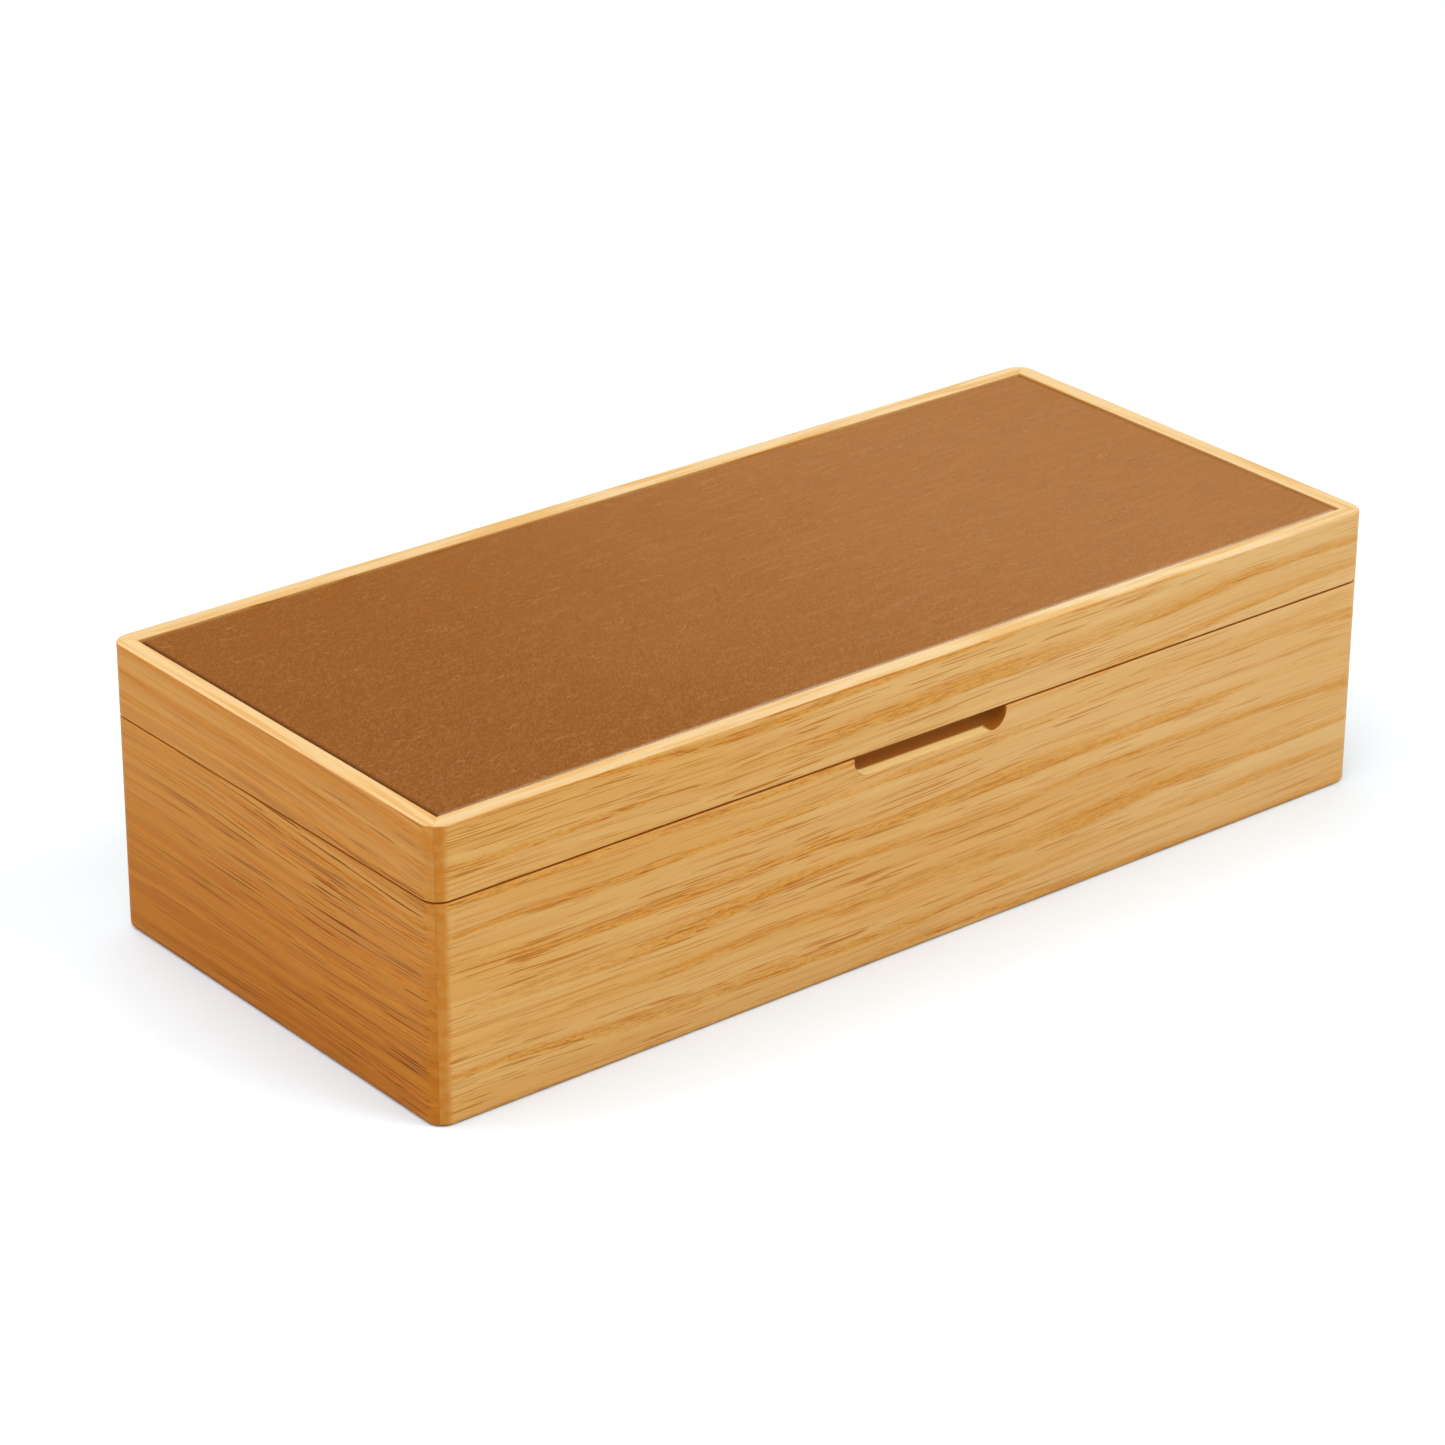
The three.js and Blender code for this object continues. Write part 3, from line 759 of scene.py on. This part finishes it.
def leather():
    """Full-grain leather: small ridges, strongest at the near corner, and long light creases."""
    n = Nodes("tan_leather")
    position = n.scaled(n.coordinates(), MILLIMETRES)
    x, y, _ = n.split(position)

    def patches_of(size, vector=position, detail=2.0):
        return n.noise(n.scaled(vector, (1 / size,) * 3), detail=detail)

    shift = n.vector_math("SUBTRACT", patches_of(LEATHER_WARP_PATCH, detail=1)["Color"], (0.5,) * 3)
    warped = n.vector_math("ADD", position, n.vector_math("MULTIPLY", shift, (LEATHER_WARP,) * 3))

    def stretched(angle, length, spacing, detail=2.0):
        """Noise whose patches lie at an angle in degrees."""
        along = n.scaled(warped, (1, 1, 1), rotation=(0, 0, math.radians(angle)))
        along = n.scaled(along, (1 / length, 1 / spacing, 1 / spacing))
        return n.noise(along, detail=detail)["Fac"]

    def creases(angle, length, spacing, width):
        """Thin lines where a stretched noise crosses its middle value."""
        return n.fade(n.distance(stretched(angle, length, spacing), 0.5), 0.0, width, 1.0, 0.0)

    cloud = patches_of(LEATHER_CLOUD)["Fac"]
    patches = patches_of(LEATHER_PATCH, detail=1.5)["Fac"]
    pores = patches_of(LEATHER_PORE, warped, detail=1.5)["Fac"]
    near_corner = n.fade(n.total(n.product(x, 0.5), y), -110, 70, 1.0, 0.22)
    ridges = n.largest(*(stretched(*ridge, detail=RIDGE_DETAIL) for ridge in RIDGES))
    ridges = n.product(n.math("SUBTRACT", ridges, RIDGE_MIDDLE), near_corner)
    crests = n.product(n.fade(ridges, 0.0, 0.10), n.fade(patches, 0.36, 0.62, 0.75, 1.0))
    long = n.largest(*(creases(*crease) for crease in CREASES))
    long = n.product(long, n.fade(patches, 0.40, 0.60, 0.30, 1.0))
    streaks = n.fade(stretched(*STREAKS), 0.50, 0.70)

    colour = n.mix(n.fade(pores, 0.25, 0.75, 0.30, 0.70), LEATHER_DARK, LEATHER_LIGHT)
    colour = n.mix(n.fade(cloud, 0.3, 0.7, 0.0, 0.3), colour, LEATHER_LIGHT)
    # Painted shade darkens the left end; painted sheen lightens the right end and its streaks.
    colour = n.mix(n.fade(x, -150, -20, 0.60, 0.0), colour, LEATHER_DARK)
    colour = n.mix(n.fade(x, -100, 110, 0.0, 0.56), colour, LEATHER_SHEEN_AND_STREAK)
    colour = n.mix(n.product(streaks, n.fade(x, -80, 60, 0.08, 0.35)), colour, LEATHER_SHEEN_AND_STREAK)
    colour = n.mix(n.product(crests, RIDGE_SHARE), colour, LEATHER_CREASE)
    colour = n.mix(n.product(long, CREASE_SHARE), colour, LEATHER_CREASE)

    # Painted highlight on the turned-down edge at the front, and painted shade at the left end.
    left_edge = (RIM_WIDTH + LEATHER_MARGIN - HALF_LENGTH) / MM
    front_edge = (RIM_WIDTH + LEATHER_MARGIN - HALF_DEPTH) / MM
    edge_highlight = n.fade(y, front_edge + 0.5, front_edge + 1.6, 0.70, 0.0)
    edge_highlight = n.product(edge_highlight, n.fade(x, left_edge, left_edge + 70, 0.45, 1.0))
    shaded = n.fade(x, left_edge + 0.2, left_edge + 1.8, 0.90, 0.0)
    colour = n.mix(shaded, n.mix(edge_highlight, colour, LEATHER_EDGE_HIGHLIGHT), LEATHER_SHADE)

    height = n.total(n.product(long, CREASE_HEIGHT), n.product(pores, PORE_HEIGHT), ridges)
    roughness = n.fade(pores, 0.3, 0.7, 0.46, 0.56)
    n.finish(colour, roughness, height, LEATHER_BUMP, LEATHER_BUMP_HEIGHT)
    n.shader.inputs["IOR"].default_value = FINISH_IOR
    n.shader.inputs["Specular IOR Level"].default_value = LEATHER_SPECULAR
    return n.material


# ---- Felt, brass and the studio floor: linear colours, and patterns in patches per metre ----
FELT_DARK = rgb(0.075, 0.03, 0.014)
FELT_LIGHT = rgb(0.17, 0.078, 0.036)
FELT_CLOUD = rgb(0.11, 0.048, 0.023)
FELT_SHEEN = rgb(0.7, 0.45, 0.3)
FELT_FIBRES = (1300, 1300, 1300)
FELT_CLOUDS = (60, 60, 60)
FELT_BUMP = 0.7
FELT_BUMP_HEIGHT = 0.25 * MM
BRASS_CLEAN = rgb(0.72, 0.50, 0.20)
BRASS_TARNISHED = rgb(0.47, 0.30, 0.11)
BRASS_SCRATCHES = (400, 9000, 9000)
BRASS_TARNISH = (260, 260, 260)
BRASS_BUMP = 0.25
BRASS_BUMP_HEIGHT = 0.01 * MM
FLOOR_LIGHT = rgb(0.79, 0.850, 0.895)
FLOOR_DARK = rgb(0.78, 0.840, 0.885)
FLOOR_GRAIN = (90, 90, 90)


def felt():
    n = Nodes("brown_felt")
    position = n.coordinates()
    fibres = n.scaled(position, FELT_FIBRES)
    fibres = n.noise(fibres, detail=4, roughness=0.75, distortion=1.5)["Fac"]
    cloud = n.noise(n.scaled(position, FELT_CLOUDS), detail=3)["Fac"]
    colour = n.mix(n.fade(fibres, 0.3, 0.7), FELT_DARK, FELT_LIGHT)
    colour = n.mix(n.fade(cloud, 0.35, 0.65, 0.0, 0.4), colour, FELT_CLOUD)
    n.finish(colour, n.fade(fibres, 0.3, 0.7, 0.85, 1.0), fibres, FELT_BUMP, FELT_BUMP_HEIGHT)
    n.shader.inputs["Sheen Weight"].default_value = 0.35
    n.shader.inputs["Sheen Roughness"].default_value = 0.5
    n.shader.inputs["Sheen Tint"].default_value = FELT_SHEEN
    return n.material


def brass():
    n = Nodes("satin_brass")
    position = n.coordinates()
    scratches = n.noise(n.scaled(position, BRASS_SCRATCHES), detail=3, roughness=0.7)["Fac"]
    tarnish = n.noise(n.scaled(position, BRASS_TARNISH), detail=3)["Fac"]
    colour = n.mix(n.fade(tarnish, 0.4, 0.75, 0.0, 0.5), BRASS_CLEAN, BRASS_TARNISHED)
    roughness = n.total(
        n.fade(scratches, 0.3, 0.7, 0.20, 0.32),
        n.fade(tarnish, 0.4, 0.8, 0.0, 0.14),
    )
    n.finish(colour, roughness, scratches, BRASS_BUMP, BRASS_BUMP_HEIGHT)
    n.shader.inputs["Metallic"].default_value = 1.0
    return n.material


def paper_floor():
    n = Nodes("studio_floor")
    grain = n.noise(n.scaled(n.coordinates(), FLOOR_GRAIN))["Fac"]
    colour = n.mix(n.fade(grain, 0.3, 0.7, 0.0, 0.4), FLOOR_LIGHT, FLOOR_DARK)
    n.link(colour, n.shader.inputs["Base Color"])
    n.shader.inputs["Roughness"].default_value = 0.9
    n.shader.inputs["Specular IOR Level"].default_value = 0.0
    return n.material


LEATHER = leather()
FELT = felt()
BRASS = brass()


def place(obj, material, slot, body, *nodes):
    """Gives a finished piece its material and its body, and hides the CAD nodes that it stands for.
    """
    obj.data.materials.clear()
    obj.data.materials.append(material)
    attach(obj, body)
    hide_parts(*nodes)
    return obj


# ======== Base and lid rings ========
BASE_PROFILE = rounded_outline(
    [
        (0, 0, BOTTOM_EASING),
        (BOTTOM_REBATE_EDGE, 0, 0),
        (BOTTOM_REBATE_EDGE, BOTTOM_REBATE_TOP, 0),
        (WALL, BOTTOM_REBATE_TOP, 0),
        (WALL, BASE_TOP, INSIDE_EASING),
        (0, BASE_TOP, SEAM_EASING),
    ]
)
LID_PROFILE = rounded_outline(
    [
        (0, LID_BOTTOM, SEAM_EASING),
        (WALL, LID_BOTTOM, INSIDE_EASING),
        (WALL, LID_GROOVE_LOW, 0),
        (LID_GROOVE_EDGE, LID_GROOVE_LOW, 0),
        (LID_GROOVE_EDGE, LID_GROOVE_HIGH, 0),
        (RIM_WIDTH, LID_GROOVE_HIGH, 0),
        (RIM_WIDTH, HEIGHT, RIM_EASING),
        (0, HEIGHT, TOP_ROUNDING),
    ]
)


def notch_outline(inset):
    """The finger notch as (along, up) points, moved in from its true outline by inset."""
    half = NOTCH_HALF - inset
    floor = BASE_TOP - NOTCH_DROP + inset
    radius = max(NOTCH_END_RADIUS - inset, SMALLEST_END_RADIUS)
    lip = NOTCH_EASING
    right = []
    for cos, sin in quarter_turn(8):
        right.append((half - radius * (1 - sin), floor + radius * (1 - cos)))
    for cos, sin in quarter_turn(4):
        right.append((half + lip * (1 - cos), BASE_TOP - lip * (1 - sin)))
    right.append((half + lip, BASE_TOP + 2 * CUT_PAST))
    left = [(-x, z) for x, z in reversed(right)]
    return left + right


def notch_tool():
    """The finger notch as a solid: eased at the front face, with a cove where it meets its back."""
    cove_start = -HALF_DEPTH + NOTCH_DEPTH - NOTCH_COVE
    slices = [(-HALF_DEPTH - CUT_PAST, -NOTCH_EASING)]
    for cos, sin in quarter_turn(4):
        slices.append((-HALF_DEPTH + NOTCH_EASING * (1 - cos), NOTCH_EASING * (sin - 1)))
    for cos, sin in quarter_turn(8):
        slices.append((cove_start + NOTCH_COVE * sin, NOTCH_COVE * (1 - cos)))
    rings = [[Vector((x, y, z)) for x, z in notch_outline(inset)] for y, inset in slices]
    vertices, faces = skin(rings)
    return clean(new_object("tool", vertices, faces))


HINGE_BOXES = [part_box("left_hinge_base_leaf"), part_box("right_hinge_base_leaf")]
HINGE_PLACES = [(box[0].x + box[1].x) / 2 for box in HINGE_BOXES]
HINGE_HALF = (HINGE_BOXES[0][1].x - HINGE_BOXES[0][0].x) / 2
SCREW_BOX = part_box("left_hinge_base_screw_1")
SCREW_Y = (SCREW_BOX[0].y + SCREW_BOX[1].y) / 2
SCREW_OFFSET = abs((SCREW_BOX[0].x + SCREW_BOX[1].x) / 2 - HINGE_PLACES[0])


def cut_mortises(obj, upward):
    """Lets the hinge leaves, knuckles and screws into a back wall or rail."""
    sign = 1 if upward else -1
    face = LID_BOTTOM if upward else BASE_TOP
    reach = HINGE_HALF + MORTISE_GAP
    inner = HINGE_AXIS.y - LEAF_WIDTH - MORTISE_GAP
    depth = LEAF_THICKNESS + MORTISE_GAP
    low, high = sorted((face + sign * depth, face - sign * MORTISE_PAST))
    hole_radius = SCREW_SHANK + FIT / 2
    hole_profile = [
        (0, -SCREW_LENGTH - FIT),
        (hole_radius, -SCREW_LENGTH + SCREW_POINT),
        (hole_radius, MORTISE_PAST),
        (0, MORTISE_PAST),
    ]
    for x in HINGE_PLACES:
        tool = plain_box((x - reach, inner, low), (x + reach, HALF_DEPTH + MORTISE_PAST, high))
        combine(obj, tool, "DIFFERENCE")
        radius = KNUCKLE_RADIUS + MORTISE_GAP
        barrel = rod_along_x(radius, x - reach, x + reach, HINGE_AXIS.y, HINGE_AXIS.z)
        combine(obj, barrel, "DIFFERENCE")
        for hand in (-1, 1):
            hole = lathe("tool", hole_profile)
            if upward:
                hole.data.transform(Matrix.Rotation(math.pi, 4, "X"))
            move(hole, (x + hand * SCREW_OFFSET, SCREW_Y, face))
            combine(obj, hole, "DIFFERENCE")
    return obj


# Each side's oak: the words are those of oak().
SIDES = {
    "front": {
        "run": "X", "seed": 3.0, "tilt": math.radians(0.6), "corner_shade": 1.0, "inked": 0.15,
        "stretch": 1.3, "seam_shade": 0.9, "notched": True,
    },
    "back": {
        "run": "X", "seed": 8.0, "tilt": math.radians(-0.8), "tone": 0.98, "warmth": 0.15,
        "ring_width": 8.0, "corner_shade": 0.95, "stretch": 1.2, "seam_shade": 0.6,
    },
    # The left board's low tone and strong warmth are partly painted shade, making that side darker
    # and more orange.
    "left": {
        "run": "Y", "seed": 13.0, "tilt": math.radians(-1.0), "tone": 0.935, "warmth": 0.8,
        "ring_width": 6.0, "corner_shade": 0.1, "inked": 0.9, "stretch": 2.2, "seam_shade": 0.45,
        "lit_towards": "Z",
    },
    "right": {
        "run": "Y", "seed": 19.0, "tilt": math.radians(1.0), "tone": 0.96, "warmth": 0.4,
        "ring_width": 6.0, "corner_shade": 0.3, "inked": 0.5, "stretch": 3.0, "seam_shade": 0.35,
        "lit_towards": "Z",
    },
}

for side, board_values in SIDES.items():
    board = oak(f"oak_{side}", **board_values)
    wall = mitred_piece(f"{side}_wall", side, BASE_PROFILE)
    rail = mitred_piece(f"{side}_rail", side, LID_PROFILE)
    if side == "front":
        combine(wall, notch_tool(), "DIFFERENCE")
    if side == "back":
        cut_mortises(wall, upward=False)
        cut_mortises(rail, upward=True)
    place(shade(wall), board, "oak", "base", f"base_{side}_wall")
    place(shade(rail), board, "oak", "lid", f"lid_{side}_rail")


# ======== Panels ========
PANELS = {"bottom_panel": ("base", 31.0), "lid_panel": ("lid", 37.0), "inlay_board": ("lid", 41.0)}

for node, (body, seed) in PANELS.items():
    low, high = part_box(node)
    panel = rounded_box(f"{node}_board", low, high, PANEL_EASING, cell=40 * MM)
    veneer = oak(f"veneer_{node}", "X", seed, tone=0.95, ring_width=9.0)
    place(shade(panel), veneer, "panel", body, node)


# ======== Dividers ========
LONG_NODES = [node for node in sorted(frame["nodes"]) if node.startswith("long_divider")]
CROSS_NODES = [node for node in sorted(frame["nodes"]) if node.startswith("cross_divider")]


def middle(node, axis):
    low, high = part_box(node)
    return (low[axis] + high[axis]) / 2


def divider(node, crossings, along_x, slot_from_top):
    """A thin board with a slot for each board that crosses it, halfway down or halfway up."""
    low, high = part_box(node)
    run, thick = (0, 1) if along_x else (1, 0)
    start, end = low[run], high[run]
    bottom, top = low.z, high.z
    half_way = (bottom + top) / 2
    slot_half = (high[thick] - low[thick]) / 2 + DIVIDER_SLOT_SIDE_GAP

    def slot(x, first_side, mouth, slot_end):
        """A slot's corners, from its mouth on the first side round to its mouth on the other."""
        first, second = x + first_side * slot_half, x - first_side * slot_half
        return [(first, mouth), (first, slot_end), (second, slot_end), (second, mouth)]

    if slot_from_top:
        edge = [(start, bottom), (end, bottom), (end, top)]
        for x in sorted(crossings, reverse=True):
            edge += slot(x, 1, top, half_way - DIVIDER_SLOT_END_GAP)
        edge += [(start, top)]
    else:
        edge = [(start, bottom)]
        for x in sorted(crossings):
            edge += slot(x, -1, bottom, half_way + DIVIDER_SLOT_END_GAP)
        edge += [(end, bottom), (end, top), (start, top)]

    def to_point(along, height, across):
        return Vector((along, across, height) if along_x else (across, along, height))

    board = extrude_outline(f"{node}_board", edge, low[thick], high[thick], to_point)
    bevel = board.modifiers.new("easing", "BEVEL")
    bevel.width = DIVIDER_EASING
    bevel.segments = 3
    bevel.limit_method = "ANGLE"
    bevel.angle_limit = math.radians(60)
    return shade(apply_modifiers(board))


column_places = [middle(node, 0) for node in CROSS_NODES]
row_places = [middle(node, 1) for node in LONG_NODES]
for i, node in enumerate(LONG_NODES):
    board = divider(node, column_places, along_x=True, slot_from_top=True)
    wood = oak(f"oak_{node}", "X", 50.0 + 3 * i, tone=0.97, ring_width=6.0)
    place(board, wood, "oak", "base", node)
for i, node in enumerate(CROSS_NODES):
    board = divider(node, row_places, along_x=False, slot_from_top=False)
    wood = oak(f"oak_{node}", "Y", 70.0 + 3 * i, tone=0.94 + 0.02 * (i % 3), ring_width=6.0)
    place(board, wood, "oak", "base", node)


# ======== Felt and leather ========
def ripple(obj, amplitude, wavelength, seed):
    """Moves the points up and down a little, so that a soft face isn't dead flat."""
    for vertex in obj.data.vertices:
        where = Vector((vertex.co.x, vertex.co.y, seed)) / wavelength
        vertex.co.z += amplitude * noise.noise(where)
    return obj


for node, body, seed in (("floor_lining", "base", 1.3), ("lid_lining", "lid", 2.1)):
    low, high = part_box(node)
    lining = rounded_box(f"{node}_felt", low, high, FELT_ROUNDING, cell=3 * MM)
    ripple(lining, FELT_RIPPLE, FELT_RIPPLE_LENGTH, seed)
    place(shade(lining, SOFT_SHARP_DEGREES), FELT, "felt", body, node)

cover_low, cover_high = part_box("leather_cover")
board_low, board_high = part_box("inlay_board")
cover = rounded_box(
    "leather_cover_skin", cover_low, cover_high, LEATHER_ROUNDING, cell=2 * MM, steps=6
)
ripple(cover, LEATHER_RIPPLE, LEATHER_RIPPLE_LENGTH, 5.7)
hollow = plain_box(
    (board_low.x - FIT, board_low.y - FIT, cover_low.z - CUT_PAST),
    (board_high.x + FIT, board_high.y + FIT, board_high.z + FIT),
)
combine(cover, hollow, "DIFFERENCE")
place(shade(cover, SOFT_SHARP_DEGREES), LEATHER, "leather", "lid", "leather_cover")


# ======== Hinges ========
def heel(inner, low, high):
    """A ring sector behind the knuckles, whose upper face is the stop of the open lid."""
    steps = 8
    turns = [math.radians(-90 + (90 - HEEL_ANGLE) * i / steps) for i in range(steps + 1)]
    outline = [(HEEL_OUTER * math.cos(turn), HEEL_OUTER * math.sin(turn)) for turn in turns]
    outline += [(inner * math.cos(turn), inner * math.sin(turn)) for turn in reversed(turns)]
    return extrude_outline("tool", outline, low, high, lambda a, b, depth: Vector((depth, a, b)))


def hinge_leaf(name, for_lid):
    """A leaf around the pin's axis, for a hinge in the middle of the case."""
    third = HINGE_HALF / 3
    gap = KNUCKLE_GAP / 2
    outer = [(-HINGE_HALF, -third - gap), (third + gap, HINGE_HALF)]
    inner = [(-third + gap, third - gap)]
    own, other = (inner, outer) if for_lid else (outer, inner)
    open_face = -(LID_BOTTOM - BASE_TOP) / 2
    leaf = rounded_box(
        name,
        Vector((-HINGE_HALF, -LEAF_WIDTH, open_face - LEAF_THICKNESS)),
        Vector((HINGE_HALF, 0, open_face)),
        LEAF_EASING,
        steps=2,
    )
    for low, high in other:
        tool = rod_along_x(KNUCKLE_RADIUS + KNUCKLE_GAP, low - 2 * gap, high + 2 * gap, 0, 0)
        combine(leaf, tool, "DIFFERENCE")
    for low, high in own:
        combine(leaf, rod_along_x(KNUCKLE_RADIUS, low, high, 0, 0, easing=LEAF_EASING), "UNION")
        # The heels end just short of the knuckles and the leaf, so that no two faces coincide.
        combine(leaf, heel(HEEL_CORE, low + HEEL_END_STEP, high - HEEL_END_STEP), "UNION")
    heel_half = HINGE_HALF - HEEL_END_STEP / 2
    combine(leaf, heel(HEEL_INNER, -heel_half, heel_half), "UNION")
    bore = rod_along_x(BORE_RADIUS, -HINGE_HALF - CUT_PAST, HINGE_HALF + CUT_PAST, 0, 0)
    combine(leaf, bore, "DIFFERENCE")
    shank, head = SCREW_SHANK + SCREW_SINK, SCREW_HEAD + SCREW_SINK
    profile = [(0, -MORTISE_PAST), (shank, -MORTISE_PAST), (shank, -SCREW_HEAD_HEIGHT)]
    profile += [(head, 0), (head, CUT_PAST), (0, CUT_PAST)]
    for hand in (-1, 1):
        hole_place = (hand * SCREW_OFFSET, SCREW_Y - HINGE_AXIS.y, open_face)
        combine(leaf, move(lathe("tool", profile), hole_place), "DIFFERENCE")
    if for_lid:
        leaf.data.transform(Matrix.Scale(-1, 4, Vector((0, 0, 1))))
        clean(leaf)
    return leaf


def screw(name, slot_turn):
    """A countersunk, slotted wood screw with a thread, its head's face at the origin."""
    profile = [(0, -SCREW_LENGTH), (SCREW_TIP, -SCREW_LENGTH + THREAD_START / 2)]
    for i in range(int((SCREW_LENGTH - THREAD_TOP) / THREAD_PITCH)):
        height = -SCREW_LENGTH + THREAD_START + i * THREAD_PITCH
        full = min(1.0, (height + SCREW_LENGTH + THREAD_START) / SCREW_POINT)
        profile += [
            (SCREW_CORE * full, height),
            (SCREW_SHANK * full, height + 0.3 * THREAD_PITCH),
            (SCREW_CORE * full, height + 0.6 * THREAD_PITCH),
        ]
    profile += [
        (SCREW_SHANK, -THREAD_TOP + THREAD_EASING),
        (SCREW_SHANK, -SCREW_HEAD_HEIGHT),
        (SCREW_HEAD - HEAD_TAPER, -HEAD_CHAMFER_HEIGHT),
        (SCREW_HEAD - HEAD_CHAMFER, 0),
        (0, 0),
    ]
    body = lathe(name, profile)
    slot = plain_box(
        (-SCREW_SLOT_REACH, -SCREW_SLOT_HALF, -SCREW_SLOT_DEPTH),
        (SCREW_SLOT_REACH, SCREW_SLOT_HALF, CUT_PAST),
    )
    slot.data.transform(Matrix.Rotation(slot_turn, 4, "Z"))
    return combine(body, slot, "DIFFERENCE")


def hinge_pin(name):
    low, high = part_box("left_hinge_pin")
    radius = (high.z - low.z) / 2
    end = [
        (0, -HINGE_HALF),
        (radius * 0.6, -HINGE_HALF + 0.3 * PIN_DOME),
        (radius, -HINGE_HALF + PIN_DOME),
    ]
    other_end = [(r, -x) for r, x in reversed(end)]
    return lathe(name, end + other_end, axis="X")


for index, side in enumerate(("left", "right")):
    x = HINGE_PLACES[index]
    for holder in ("base", "lid"):
        for_lid = holder == "lid"
        node = f"{side}_hinge_{holder}_leaf"
        leaf = move(hinge_leaf(f"{node}_brass", for_lid), (x, HINGE_AXIS.y, HINGE_AXIS.z))
        place(shade(leaf, BRASS_SHARP_DEGREES), BRASS, "brass", holder, node)
        for number, hand in ((1, -1), (2, 1)):
            node = f"{side}_hinge_{holder}_screw_{number}"
            # Each slot stands at its own angle, as in screws that were turned in by hand.
            piece = screw(f"{node}_brass", math.radians(37 * number + 61 * index + 23 * for_lid))
            if for_lid:
                piece.data.transform(Matrix.Rotation(math.pi, 4, "X"))
            face = LID_BOTTOM if for_lid else BASE_TOP
            move(piece, (x + hand * SCREW_OFFSET, SCREW_Y, face))
            place(shade(piece, BRASS_SHARP_DEGREES), BRASS, "brass", holder, node)
    pin = move(hinge_pin(f"{side}_hinge_pin_brass"), (x, HINGE_AXIS.y, HINGE_AXIS.z))
    place(shade(pin, BRASS_SHARP_DEGREES), BRASS, "brass", "base", f"{side}_hinge_pin")


# ======== Studio ========
FLOOR_HALF = 6
WORLD_STRENGTH = 0.3
# Each light's place, size and power in watts. All of them face the case.
LIGHTS = {
    "overhead": ((-0.55, 0.8, 1.9), (3.0, 3.0), 53),
    "right_of_camera": ((1.0, -1.4, 1.9), (1.4, 1.2), 28),
    "front": ((0.0, -1.5, 2.0), (2.4, 1.2), 12.5),
    "left": ((-1.5, -1.0, 1.8), (1.6, 1.2), 13),
}
# The camera's place is in lengths of the case from its near lower corner.
CAMERA_PLACE = Vector((-1.8987, -2.6718, 1.8942))
CAMERA_AZIMUTH = math.radians(-39.202)
CAMERA_ELEVATION = math.radians(25.261)
CAMERA_ROLL = math.radians(0.314)
CAMERA_SENSOR = 36
CAMERA_LENS = 121.63

floor_corners = [(-1, -1), (1, -1), (1, 1), (-1, 1)]
floor_corners = [(FLOOR_HALF * x, FLOOR_HALF * y, 0) for x, y in floor_corners]
floor = new_object("studio_floor", floor_corners, [(0, 1, 2, 3)])
floor.data.materials.append(paper_floor())

scene = bpy.context.scene
scene.world = bpy.data.worlds.new("studio")
scene.world.use_nodes = True
background = scene.world.node_tree.nodes["Background"]
background.inputs["Color"].default_value = rgb(1.0, 1.0, 1.0)
background.inputs["Strength"].default_value = WORLD_STRENGTH

for name, (light_place, size, watts) in LIGHTS.items():
    light_data = bpy.data.lights.new(name, "AREA")
    light_data.shape = "RECTANGLE"
    light_data.size, light_data.size_y = size
    light_data.energy = watts
    light = bpy.data.objects.new(name, light_data)
    light.location = light_place
    light.rotation_euler = (-Vector(light_place)).to_track_quat("-Z", "Y").to_euler()
    scene.collection.objects.link(light)

right = Vector((math.cos(CAMERA_AZIMUTH), math.sin(CAMERA_AZIMUTH), 0))
level_forward = Vector((-right.y, right.x, 0))
forward = math.cos(CAMERA_ELEVATION) * level_forward
forward.z -= math.sin(CAMERA_ELEVATION)
up = right.cross(forward)
rolled_right = math.cos(CAMERA_ROLL) * right + math.sin(CAMERA_ROLL) * up
rolled_up = -math.sin(CAMERA_ROLL) * right + math.cos(CAMERA_ROLL) * up
near_corner = Vector((-HALF_LENGTH, -HALF_DEPTH, 0))
camera_data = bpy.data.cameras.new("camera")
camera_data.sensor_width = CAMERA_SENSOR
camera_data.lens = CAMERA_LENS
camera_data.clip_start = 0.05
camera_data.clip_end = 50
camera = bpy.data.objects.new("camera", camera_data)
turn = Matrix((rolled_right, rolled_up, -forward)).transposed().to_4x4()
camera.matrix_world = Matrix.Translation(near_corner + 2 * HALF_LENGTH * CAMERA_PLACE) @ turn
scene.collection.objects.link(camera)
scene.camera = camera
scene.view_settings.view_transform = "Standard"
scene.view_settings.look = "None"
